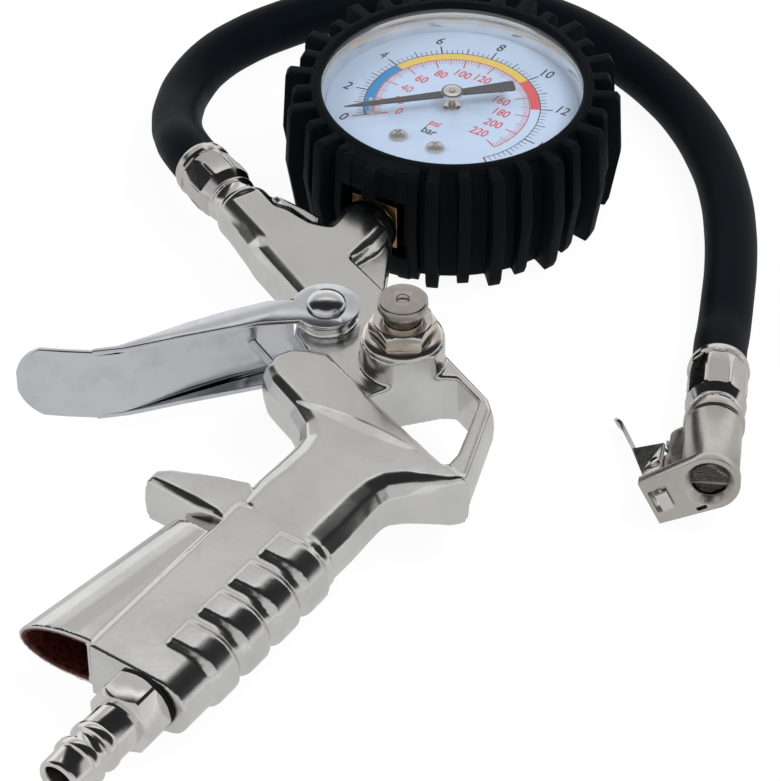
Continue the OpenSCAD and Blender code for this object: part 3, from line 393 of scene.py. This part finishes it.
def bright_plate(name, light, dark, rough):
    """Bright plating with faint turning lines and handling marks."""
    f = Finish(name, Metallic=1.0, IOR=1.7)
    haze = f.noise(140, 3, 0.55)
    marks = f.noise(700, 2, 0.7, f.stretched((1, 1, 0.25), (0.4, 0.7, 0.2)))
    colour = f.blend(haze.between(0.4, 0.8), light, dark)
    return f.give(Base_Color=colour, Roughness=haze.between(0.35, 0.8, rough, rough + 0.08) + marks * 0.04,
                  Normal=f.relief(marks, 0.012))


def old_brass(name, light, dark, rough):
    """Brass gone brown in patches."""
    f = Finish(name, Metallic=1.0, IOR=1.5)
    patches = f.noise(160, 5, 0.65)
    specks = f.noise(1400, 2, 0.6)
    tarnish = patches.between(0.42, 0.62)
    colour = f.blend(tarnish, light, dark)
    return f.give(Base_Color=colour, Roughness=tarnish * 0.16 + rough + specks * 0.08,
                  Normal=f.relief(specks, 0.02))


def moulded_rubber(name, colour, dusty, rough, pitch, depth):
    """Matt moulded rubber with a fine spark-eroded grain and a trace of dust."""
    f = Finish(name, IOR=1.5)
    f.shader.inputs["Specular IOR Level"].default_value = 0.05
    grain = f.noise(pitch, 3, 0.6)
    bloom = f.noise(70, 4, 0.6)
    tint = f.blend(bloom.between(0.45, 0.85), colour, dusty)
    return f.give(Base_Color=tint, Roughness=bloom.between(0.3, 0.8, rough, rough + 0.1) + grain * 0.06,
                  Normal=f.relief(grain, depth))


def paint_film(name, colour, rough, coat=0.0):
    """Even paint or print with a slight tooth."""
    f = Finish(name, IOR=1.45, Coat_Roughness=0.08)
    tooth = f.noise(1800, 2, 0.5)
    shade = f.noise(90, 3, 0.5)
    tint = f.blend(shade, colour, tuple(c * 0.93 for c in colour))
    f.shader.inputs["Coat Weight"].default_value = coat
    return f.give(Base_Color=tint, Roughness=tooth * 0.05 + rough, Normal=f.relief(tooth, 0.004))


def clear_lens(name):
    """Clear moulded pane: clear face on. Towards grazing angles its gloss shows, and with it its pale base
    colour, a painted reflection.
    """
    f = Finish(name, Roughness=0.03, IOR=1.49)
    # The pale base colour, faded in towards grazing angles below, is a painted reflection; the gloss that fades
    # in with it is real.
    f.shader.inputs["Base Color"].default_value = (0.93, 0.96, 1, 1)
    painted_glare = f.node("LayerWeight", None, Blend=0.5, out=1)
    wipe = f.noise(45, 3, 0.5)
    return f.give(Alpha=painted_glare ** 4 * 0.7 + wipe * 0.02 + 0.015)


gun_metal = cast_nickel("cast_nickel", (0.79, 0.785, 0.765), (0.71, 0.705, 0.685), 0.13, 0.018,
                        brown_hollow=True)
chuck_metal = cast_nickel("cast_chuck_metal", (0.6, 0.58, 0.54), (0.52, 0.5, 0.45), 0.2, 0.006)
lever_metal = bright_plate("lever_plate", (0.74, 0.765, 0.8), (0.64, 0.665, 0.7), 0.16)
bright_metal = bright_plate("bright_nickel", (0.83, 0.815, 0.79), (0.73, 0.71, 0.68), 0.09)
dome_chrome = bright_plate("dome_chrome", (0.8, 0.8, 0.81), (0.7, 0.7, 0.71), 0.12)
button_metal = bright_plate("button_nickel", (0.56, 0.52, 0.48), (0.46, 0.42, 0.38), 0.2)
nut_metal = bright_plate("nut_nickel", (0.82, 0.77, 0.71), (0.68, 0.62, 0.55), 0.14)
post_white = paint_film("post_white", (0.62, 0.62, 0.66), 0.3, 0.3)
dark_metal = bright_plate("dark_steel", (0.3, 0.3, 0.31), (0.2, 0.2, 0.21), 0.3)
clip_metal = bright_plate("clip_steel", (0.78, 0.77, 0.75), (0.68, 0.67, 0.65), 0.18)
sleeve_metal = bright_plate("sleeve_nickel", (0.67, 0.655, 0.63), (0.58, 0.565, 0.54), 0.09)
head_metal = bright_plate("head_nickel", (0.95, 0.93, 0.9), (0.85, 0.83, 0.8), 0.4)
spring_metal = bright_plate("spring_wire", (0.62, 0.66, 0.75), (0.5, 0.53, 0.62), 0.14)
stem_brass = old_brass("tarnished_brass", (0.34, 0.22, 0.1), (0.1, 0.06, 0.035), 0.28)
clean_brass = old_brass("movement_brass", (0.72, 0.56, 0.28), (0.55, 0.4, 0.18), 0.25)
boot_rubber = moulded_rubber("boot_rubber", (0.004, 0.006, 0.0072), (0.007, 0.0095, 0.011), 0.45, 1500, 0.012)
hose_rubber = moulded_rubber("hose_rubber", (0.0035, 0.006, 0.009), (0.006, 0.009, 0.0125), 0.4, 800, 0.015)
seal_rubber = moulded_rubber("seal_rubber", (0.012, 0.012, 0.012), (0.03, 0.03, 0.03), 0.5, 900, 0.02)
case_paint = paint_film("case_paint", (0.02, 0.02, 0.022), 0.35)
dial_white = paint_film("dial_enamel", (0.59, 0.74, 0.97), 0.32, 0.3)
print_black = paint_film("print_black", (0.012, 0.013, 0.016), 0.4)
print_red = paint_film("print_red", (0.72, 0.055, 0.075), 0.4)
band_red = paint_film("band_red", (0.78, 0.07, 0.075), 0.4)
band_blue = paint_film("band_blue", (0.0, 0.25, 0.62), 0.4)
band_yellow = paint_film("band_yellow", (0.83, 0.6, 0.1), 0.4)
pointer_paint = paint_film("pointer_paint", (0.03, 0.033, 0.036), 0.4)
lens_clear = clear_lens("lens_clear")


def finished(thing, material, body="inflator", stands_for=()):
    """Gives a piece its finish and its body, and hides the imported solids that it stands for."""
    thing.data.materials.clear()
    thing.data.materials.append(material)
    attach(thing, body)
    if stands_for:
        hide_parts(*stands_for)
    return thing


def plain(name, material):
    """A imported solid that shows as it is, in a new finish."""
    for place in solids[name].material_slots:
        place.material = material


# ---- Gun ----

grip_turn = math.radians(-67)
grip_end = Vector((125.24, -155.82, mid_z))
grip_top, plate_top = 23.7, 22.9

gun = copied("gun_body", "gun_casting")
# The tops of the barrel and of the gauge branch are flush with the plate
cut(gun, (15, barrel_y, plate_top + 2), (32, 9, 4))
cut(gun, (24.8, -46.6, plate_top + 2), (27.6, 9, 4), branch_angle)
skinned(gun, 0.45, 2, 0.45)
finished(gun, gun_metal, stands_for=["gun_body"])


def web_facet(start, end, up, down, rise, root=0.6, steps=28):
    """Leaf-shaped facet where the valve chamber's flat meets the grip's, with its root sunk in the casting."""
    start, end = Vector(start), Vector(end)
    side = Vector((start.y - end.y, end.x - start.x)).normalized()
    bpy.ops.object.select_all(action="DESELECT")
    bpy.ops.mesh.primitive_grid_add(x_subdivisions=steps, y_subdivisions=2)
    thing = named(bpy.context.object, "gun_web_facet")
    for corner in thing.data.vertices:
        t = (corner.co.x + 1) / 2
        swell = max(0, math.sin(math.pi * t ** 1.1)) ** 0.6
        out = (-down, up, up + 1)[round(corner.co.y + 1)] * swell
        lift = rise * swell if abs(corner.co.y) < 0.5 else -0.04
        spot = start.lerp(end, t) + side * out
        corner.co = Vector((*spot, grip_top + lift)) * mm
    use(weld(thing), "SOLIDIFY", thickness=root * mm, offset=-1)
    return smooth(thing, 8)


finished(web_facet((70, -86.3), (98.9, -72.4), 1.6, 1.7, 0.19), gun_metal)

lever = eased(copied("trigger_lever", "trigger_lever_sheet"), 0.22)
finished(lever, lever_metal, "lever", ["trigger_lever"])

screw = smooth(copied("pivot_screw", "pivot_screw_dome"), 40)
finished(screw, dome_chrome, stands_for=["pivot_screw"])
ring = eased(copied("pivot_clip", "pivot_clip_ring"), 0.1)
finished(ring, dark_metal, stands_for=["pivot_clip"])

pin = eased(copied("valve_pin", "valve_pin_rod"), 0.1)
finished(pin, bright_metal, "valve", ["valve_pin"])
gland = eased(copied("gland_nut", "gland_nut_ring"), 0.15)
finished(gland, stem_brass, stands_for=["gland_nut"])


def coil(label, start, direction, across, radius, wire, length, turns, knots=16):
    """A coil of round wire with its end turns closed down."""
    along, out = Vector(direction).normalized(), Vector(across).normalized()
    side = along.cross(out)
    bpy.ops.object.select_all(action="DESELECT")
    bpy.ops.curve.primitive_bezier_curve_add()
    thing = bpy.context.object
    steps = int(turns * knots)
    line = thing.data.splines[0]
    line.bezier_points.add(steps - 1)
    for i, knot in enumerate(line.bezier_points):
        t = i / steps
        a = 2 * math.pi * turns * t
        rise = wire + (length - 2 * wire) * min(max((t * turns - 0.75) / (turns - 1.5), 0), 1)
        knot.co = (Vector(start) + along * rise + (out * math.cos(a) + side * math.sin(a)) * radius) * mm
        knot.handle_left_type = knot.handle_right_type = "AUTO"
    thing.data.resolution_u = 2
    thing.data.bevel_depth = wire * mm
    thing.data.bevel_resolution = 3
    thing.data.use_fill_caps = True
    pick(thing)
    bpy.ops.object.convert(target="MESH")
    return smooth(named(bpy.context.object, label), 60)


spring = coil("valve_spring_coil", (83.58, -80.8, mid_z), (-1, 0, 0), (0, 0, 1), 4.2, 0.5, 5.1, 3.5)
finished(spring, spring_metal, stands_for=["valve_spring"])
spring = coil("release_spring_coil", (70.3, barrel_y, 25.42), (0, 0, 1), (1, 0, 0), 2.5, 0.4, 7.66, 4.5)
finished(spring, spring_metal, stands_for=["release_spring"])
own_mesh(spring)

# ---- Release button ----

button = eased(copied("release_button", "release_button_cap"), 0.12)
finished(button, button_metal, "button", ["release_button"])
nut = eased(copied("release_nut", "release_nut_hex"), 0.3, 3)
finished(nut, nut_metal, stands_for=["release_nut"])
washer = eased(copied("release_washer", "release_washer_wave"), 0.12)
finished(washer, nut_metal, stands_for=["release_washer"])

# ---- Boot and gauge ----

boot = eased(copied("gauge_boot", "boot_moulding"), 0.3, 2, 24)
finished(boot, boot_rubber, stands_for=["gauge_boot"])
bezel = eased(copied("gauge_bezel", "bezel_ring"), 0.1)
finished(bezel, bright_metal, stands_for=["gauge_bezel"])
pane = eased(copied("gauge_lens", "lens_pane"), 0.12)
finished(pane, lens_clear, stands_for=["gauge_lens"])
pane.visible_shadow = False
stem = eased(copied("gauge_stem", "stem_bar"), 0.35, 3)
finished(stem, stem_brass, stands_for=["gauge_stem"])

# ---- Dial print ----

print_z = gauge_front / mm + 0.02
# Both scales start at one angle and run short up to their first figure
zero_angle, dial_up = 247, 27
bar_start, bar_step = 220.0, 16.6
psi_start, psi_step = 228.0, 22.85
band_in, band_out, psi_out = 19.3, 21.6, 19.1


def bar_angle(bar):
    return zero_angle - 13.5 * bar if bar < 2 else bar_start - bar_step * (bar - 2)


def psi_angle(psi):
    return zero_angle - 0.95 * psi if psi < 20 else psi_start - psi_step * (psi - 20) / 20


def band(label, inner, outer, start, end, lift, finish):
    """A flat printed arc between two radii."""
    turn = math.radians(start)
    ends = [(r * math.cos(turn), r * math.sin(turn), print_z + lift) for r in (inner, outer)]
    thing = edge_from(label, ends)
    edit(thing)
    bpy.ops.mesh.spin(steps=max(4, int(abs(end - start) / 2)), angle=math.radians(start - end),
                      center=(0, 0, 0), axis=(0, 0, 1))
    done()
    face_up(thing)
    return finished(thing, finish)


def face_up(thing):
    edit(thing)
    bpy.ops.mesh.remove_doubles(threshold=1e-7)
    bpy.ops.mesh.normals_make_consistent(inside=False)
    done()
    if thing.data.polygons and thing.data.polygons[0].normal.z < 0:
        edit(thing)
        bpy.ops.mesh.flip_normals()
        done()


def ticks(label, inner, outer, width, start, end, count, lift):
    """Evenly spaced printed lines, count of them after the first."""
    bpy.ops.object.select_all(action="DESELECT")
    middle = (inner + outer) / 2
    bpy.ops.mesh.primitive_plane_add(size=1, location=(0, 0, 0))
    thing = named(bpy.context.object, label)
    thing.data.transform(Matrix.Rotation(math.radians(start), 4, "Z") @ Matrix.Translation(
        Vector((middle, 0, print_z + lift)) * mm) @ Matrix.Diagonal(((outer - inner) * mm, width * mm, 1, 1)))
    if count:
        edit(thing)
        bpy.ops.mesh.spin(steps=count, dupli=True, angle=math.radians(start - end),
                          center=(0, 0, 0), axis=(0, 0, 1))
        done()
    return thing


def figure(words, height, radius, angle, lean=0.1, squeeze=0.8):
    """Printed figures, upright on the dial, centred at a radius and angle."""
    bpy.ops.object.select_all(action="DESELECT")
    bpy.ops.object.text_add()
    thing = bpy.context.object
    thing.data.body = words
    thing.data.size = height / 0.7 * mm
    thing.data.shear = lean
    thing.data.align_x, thing.data.align_y = "CENTER", "CENTER"
    thing.data.resolution_u = 3
    thing.data.offset = 0 if "4" in words else 0.05 * mm
    turn = math.radians(angle)
    thing.location = Vector((radius * math.cos(turn), radius * math.sin(turn), print_z + 0.02)) * mm
    thing.rotation_euler.z = math.radians(dial_up)
    thing.scale.x = squeeze
    bpy.ops.object.convert(target="MESH")
    return settle(bpy.context.object)


dial = eased(copied("gauge_dial", "dial_plate"), 0.08)
finished(dial, dial_white, stands_for=["gauge_dial"])

band("band_low", band_in, band_out, bar_angle(0), bar_angle(4), 0, band_blue)
band("band_middle", band_in, band_out, bar_angle(4), bar_angle(10), 0, band_yellow)
band("band_high", band_in, band_out, bar_angle(10), bar_angle(12), 0, band_red)
band("scale_line_outer", band_out, 21.82, bar_angle(0), bar_angle(16), 0.01, print_black)
band("scale_line_inner", 19, 19.25, psi_angle(0), psi_angle(220), 0.01, print_red)

black = [ticks("bar_long", band_out, 24.8, 0.36, bar_angle(2), bar_angle(16), 7, 0.01),
         ticks("bar_long_zero", 19.6, 24.8, 0.3, bar_angle(0), 0, 0, 0.02),
         ticks("bar_middle", band_out, 24.1, 0.26, bar_angle(3), bar_angle(15), 6, 0.01),
         ticks("bar_middle_one", band_out, 24.1, 0.26, bar_angle(1), 0, 0, 0.01),
         ticks("bar_short", band_out, 23.3, 0.17, bar_angle(2), bar_angle(16), 70, 0.01),
         ticks("bar_short_low", band_out, 23.3, 0.17, bar_angle(0), bar_angle(2), 10, 0.01)]
black += [figure(str(n), 3.1, 27, bar_angle(n)) for n in range(0, 17, 2)]
black.append(figure("bar", 2.5, 11.6, 298))
finished(joined("bar_print", black), print_black)

red = [ticks("psi_long", 15.8, psi_out, 0.34, psi_angle(20), psi_angle(220), 10, 0.01),
       ticks("psi_long_zero", 15.8, 20.1, 0.34, psi_angle(0), 0, 0, 0.02),
       ticks("psi_middle", 16.9, psi_out, 0.2, psi_angle(30), psi_angle(210), 9, 0.01),
       ticks("psi_middle_low", 16.9, psi_out, 0.2, psi_angle(10), 0, 0, 0.01),
       ticks("psi_short", 17.6, psi_out, 0.15, psi_angle(20), psi_angle(220), 100, 0.01),
       ticks("psi_short_low", 17.6, psi_out, 0.15, psi_angle(0), psi_angle(20), 10, 0.01)]
red += [figure(str(n), 2.7, 13.3 - 1.2 * (n > 150), psi_angle(n)) for n in range(0, 221, 20)]
red.append(figure("psi", 2.3, 8.2, 297))
finished(joined("psi_print", red), print_red)

# ---- Pointer, its hub and the small parts on the dial ----

pointer = eased(copied("gauge_pointer", "pointer_blade"), 0.07, 1)
finished(pointer, pointer_paint, "pointer", ["gauge_pointer"])
blade_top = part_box("gauge_pointer")[1].z / mm
hub = spun("pointer_hub", [(r, 0, blade_top + z) for r, z in (
    (0, 0.24), (0.42, 0.22), (0.56, 0.1), (0.62, 0), (2.2, 0.01), (2.62, -0.12), (2.76, -0.4), (2.76, -0.95),
    (2.55, -1.12), (0.9, -1.12))], steps=40)
finished(hub, bright_metal, "pointer")

bush = spun("arbor_bush", [(r, 0, print_z + z) for r, z in (
    (0.95, -0.4), (2.2, -0.4), (2.2, 0.25), (1.9, 0.6), (1.25, 0.78), (0.95, 0.7))], steps=40)
finished(bush, bright_metal)

stop_at = (-8.3, -18.3)
post = spun("stop_post", [(stop_at[0] + r, stop_at[1], print_z + z) for r, z in (
    (0, -0.2), (1.05, -0.2), (1.05, 0.25), (0.8, 0.5), (0.52, 0.6), (0.5, 4), (0.42, 4.35), (0.2, 4.5),
    (0, 4.52))],
    centre=(stop_at[0], stop_at[1], 0), steps=24)
finished(post, post_white)

heads = []
for number, at in enumerate(((3.2, -17.6), (12, -12.6))):
    head = spun(f"dial_screw_{number}", [(at[0] + r, at[1], print_z + z) for r, z in (
        (0, 1.4), (0.7, 1.36), (1.4, 1.15), (2, 0.75), (2.35, 0.3), (2.4, -0.05), (2.2, -0.1), (0, -0.1))],
        centre=(at[0], at[1], 0), steps=32)
    for turn in (20, 110):
        cut(head, (*at, print_z + 1.45), (2.6, 0.46, 1.2), turn)
    heads.append(smooth(head, 30))
finished(joined("dial_screw_heads", heads), head_metal, stands_for=["dial_screws"])

# ---- Inlet plug and hose fittings ----


def on_grip(thing):
    """Lays a piece made upright at the origin along the grip's axis, from its end."""
    thing.data.transform(Matrix.Translation(grip_end * mm) @ Matrix.Rotation(grip_turn, 4, "Z")
                         @ Matrix.Rotation(math.pi / 2, 4, "Y"))
    return thing


shank = spun("plug_shank", [(r, 0, z) for r, z in (
    (6.4, -3), (6.4, 1.3), (5.6, 1.5), (5.6, 14.5), (5.5, 14.8), (5.6, 15.1), (5.9, 15.3), (6, 15.7),
    (6, 16.7), (5.85, 17.2), (5.4, 17.5), (4.95, 17.8), (4.8, 18.2), (4.8, 19.6), (5, 20), (5.5, 20.2),
    (5.9, 20.4), (6, 20.8), (6, 21.9), (5.85, 22.4), (5.4, 22.7), (5.2, 23), (5.2, 27), (5.15, 27.6),
    (4.9, 28), (4.5, 28.17), (4.1, 28.1), (3.8, 27.8), (3.65, 27), (3.6, 10), (0, 9.5))], steps=64)
bpy.ops.object.select_all(action="DESELECT")
bpy.ops.mesh.primitive_cylinder_add(vertices=6, radius=8.6 * mm, depth=7.5 * mm, location=(0, 0, 4.9 * mm))
hexagon = settle(bpy.context.object)
collar = spun("plug_hex_turning", [(r, 0, z) for r, z in (
    (0, 1), (7.3, 1), (8.4, 1.9), (8.4, 7.4), (7.2, 8.66), (0, 8.66))], steps=96)
use(hexagon, "BOOLEAN", operation="INTERSECT", object=collar, solver="EXACT")
bpy.data.objects.remove(collar)
hexagon = eased(hexagon, 0.18, 2, 20, held=True)
plug = on_grip(joined("inlet_plug_turned", [shank, hexagon]))
finished(plug, bright_metal, stands_for=["inlet_plug"])


def crimped(node, label, length, place):
    """A ferrule with eight flats pressed into it. It stands upright at the origin while they are cut."""
    sleeve = copied(node, label)
    sleeve.data.transform(place.inverted())
    for turn in range(0, 360, 45):
        out = Matrix.Rotation(math.radians(turn), 3, "Z") @ Vector((8.3, 0, length / 2 + 0.4))
        cut(sleeve, out, (3, 4.9, length - 6), turn)
    sleeve.data.transform(place)
    return smooth(eased(sleeve, 0.15, 2, 20), 12)


chuck_heading, chuck_lift, lug_turn = -39.2, 7.2, -62
gun_end = Matrix.Translation(Vector(gun_place) * mm) @ Matrix.Rotation(math.radians(90), 4, "Y")
chuck_end = (Matrix.Translation(Vector(chuck_place) * mm)
             @ Matrix.Rotation(math.radians(chuck_heading), 4, "Z")
             @ Matrix.Rotation(math.radians(90 - chuck_lift), 4, "Y"))
gun_sleeve = crimped("gun_ferrule", "gun_sleeve", 15, gun_end)
finished(gun_sleeve, sleeve_metal, stands_for=["gun_ferrule"])
chuck_sleeve = crimped("chuck_ferrule", "chuck_sleeve", 18.5, chuck_end)
finished(chuck_sleeve, sleeve_metal, stands_for=["chuck_ferrule"])
gun_tail = eased(copied("gun_insert", "gun_insert_turned"), 0.15)
finished(gun_tail, bright_metal, stands_for=["gun_insert"])
chuck_tail = eased(copied("chuck_insert", "chuck_insert_turned"), 0.15)
finished(chuck_tail, bright_metal, stands_for=["chuck_insert"])

# ---- Tyre chuck ----

chuck = eased(copied("chuck_body", "chuck_casting"), 0.25)
finished(chuck, chuck_metal, stands_for=["chuck_body"])
clip = eased(copied("chuck_clip", "clip_sheet"), 0.12)
finished(clip, clip_metal, "clip", ["chuck_clip"])
rivet = eased(copied("clip_pin", "clip_rivet"), 0.2, 3)
finished(rivet, bright_metal, stands_for=["clip_pin"])


def chuck_point(out, across, along):
    """A place on the chuck: out along its lug, across it, and along it from the hose end."""
    lug = chuck_end @ Matrix.Rotation(math.radians(lug_turn), 4, "Z")
    return lug @ (Vector((out, across, along)) * mm) / mm


seat_out, seat_along = 10.22, 26.3
lean = math.radians(69)
base = chuck_point(seat_out, 0, seat_along)
spring_way = chuck_point(seat_out + math.sin(lean), 0, seat_along + math.cos(lean)) - base
spring_side = chuck_point(seat_out + math.cos(lean), 0, seat_along - math.sin(lean)) - base
spring = coil("clip_spring_coil", base, spring_way, spring_side, 1.25, 0.35, 6.8, 5)
finished(spring, spring_metal, stands_for=["clip_spring"])

for name, material in (
        ("pin_seal", seal_rubber), ("valve_seat", clean_brass), ("release_seal", seal_rubber),
        ("gauge_case", case_paint), ("pinion_arbor", clean_brass), ("sector_gear", clean_brass),
        ("movement_link", clip_metal), ("movement_plates", clean_brass), ("movement_posts", clean_brass),
        ("bourdon_tube", clean_brass), ("stem_seal", seal_rubber), ("plug_seal", seal_rubber),
        ("chuck_seal", seal_rubber), ("chuck_pin", bright_metal)):
    plain(name, material)

hose.data.materials.append(hose_rubber)
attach(hose, "inflator")
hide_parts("hose")


# ---- Floor and light ----

# Outputs of the Light Path node
camera_ray, gloss_ray, clear_ray = 0, 3, 6


def grey(level):
    return level, level, level


def lay_floor():
    bpy.ops.object.select_all(action="DESELECT")
    bpy.ops.mesh.primitive_plane_add(size=6, location=(0, 0, -0.0002))
    floor = named(bpy.context.object, "floor")
    paper = Finish("floor_paper", Roughness=0.9)
    paper.shader.inputs["Base Color"].default_value = (0.86, 0.86, 0.86, 1)
    paper.shader.inputs["Specular IOR Level"].default_value = 0
    eye = paper.node("LightPath", out=camera_ray)
    gloss = paper.node("LightPath", out=gloss_ray)
    glow = paper.node("Emission", None, (1, 1, 1, 1), eye * 0.44 + 0.6)
    mixed = paper.node("MixShader", None, eye.maths("MAXIMUM", eye, gloss) * 0.9,
                       Value(paper, paper.shader.outputs[0]), glow)
    paper.put(paper.tree.nodes["Material Output"].inputs["Surface"], mixed)
    floor.data.materials.append(paper.material)


def light_room():
    """White to the eye. Gloss sees sheets behind the part and near the eye, and dark beside it and overhead."""
    world = bpy.data.worlds.new("studio")
    bpy.context.scene.world = world
    world.use_nodes = True
    room = Mixture(world.node_tree)
    back = room.tree.nodes["Background"]
    way = room.node("TexCoord", out=0)
    to_eye = (0.836, -0.549, 0)
    front = room.node("VectorMath", {"operation": "DOT_PRODUCT"}, way, to_eye, out=1)
    height = room.node("SeparateXYZ", None, way, out=2)
    sheet, dark = (0.54, 0.535, 0.53), (0.03, 0.03, 0.032)
    behind = room.node("ValToRGB", {"stops": [
        (0.0, grey(0.95)), (0.38, grey(0.9)), (0.5, sheet), (0.7, sheet),
        (0.76, grey(1.0)), (0.84, grey(1.0)), (0.88, dark), (1.0, dark)]}, height)
    beside = room.node("ValToRGB", {"stops": [
        (0.0, grey(0.8)), (0.2, grey(0.62)), (0.3, dark), (0.92, (0.02, 0.02, 0.022))]}, height)
    near = room.node("ValToRGB", {"stops": [
        (0.0, grey(0.85)), (0.3, grey(0.6)), (0.75, grey(0.54)), (0.88, dark)]}, height)
    tent = room.blend(front.between(-0.62, -0.5), behind, beside)
    tent = room.blend(front.between(0.2, 0.36), tent, near)
    gloss = room.node("LightPath", out=gloss_ray)
    seen = room.node("LightPath", out=camera_ray)
    clear = room.node("LightPath", out=clear_ray)
    colour = room.blend(gloss, grey(1.0), tent)
    full = seen.maths("MAXIMUM", seen.maths("MAXIMUM", seen, clear), gloss)
    room.put(back.inputs["Color"], colour)
    room.put(back.inputs["Strength"], full * 0.58 + 0.42)
    set_lamp("key", (0.35, 0.25, 0.75), (0.02, -0.04, 0), (0.5, 0.35), 3.4)
    set_lamp("side", (-0.45, -0.55, 0.5), (0.02, -0.06, 0), (0.4, 0.5), 1.8)
    set_lamp("near", (0.65, -0.75, 0.35), (0.05, -0.1, 0.01), (0.3, 0.25), 0.9)


lay_floor()
light_room()
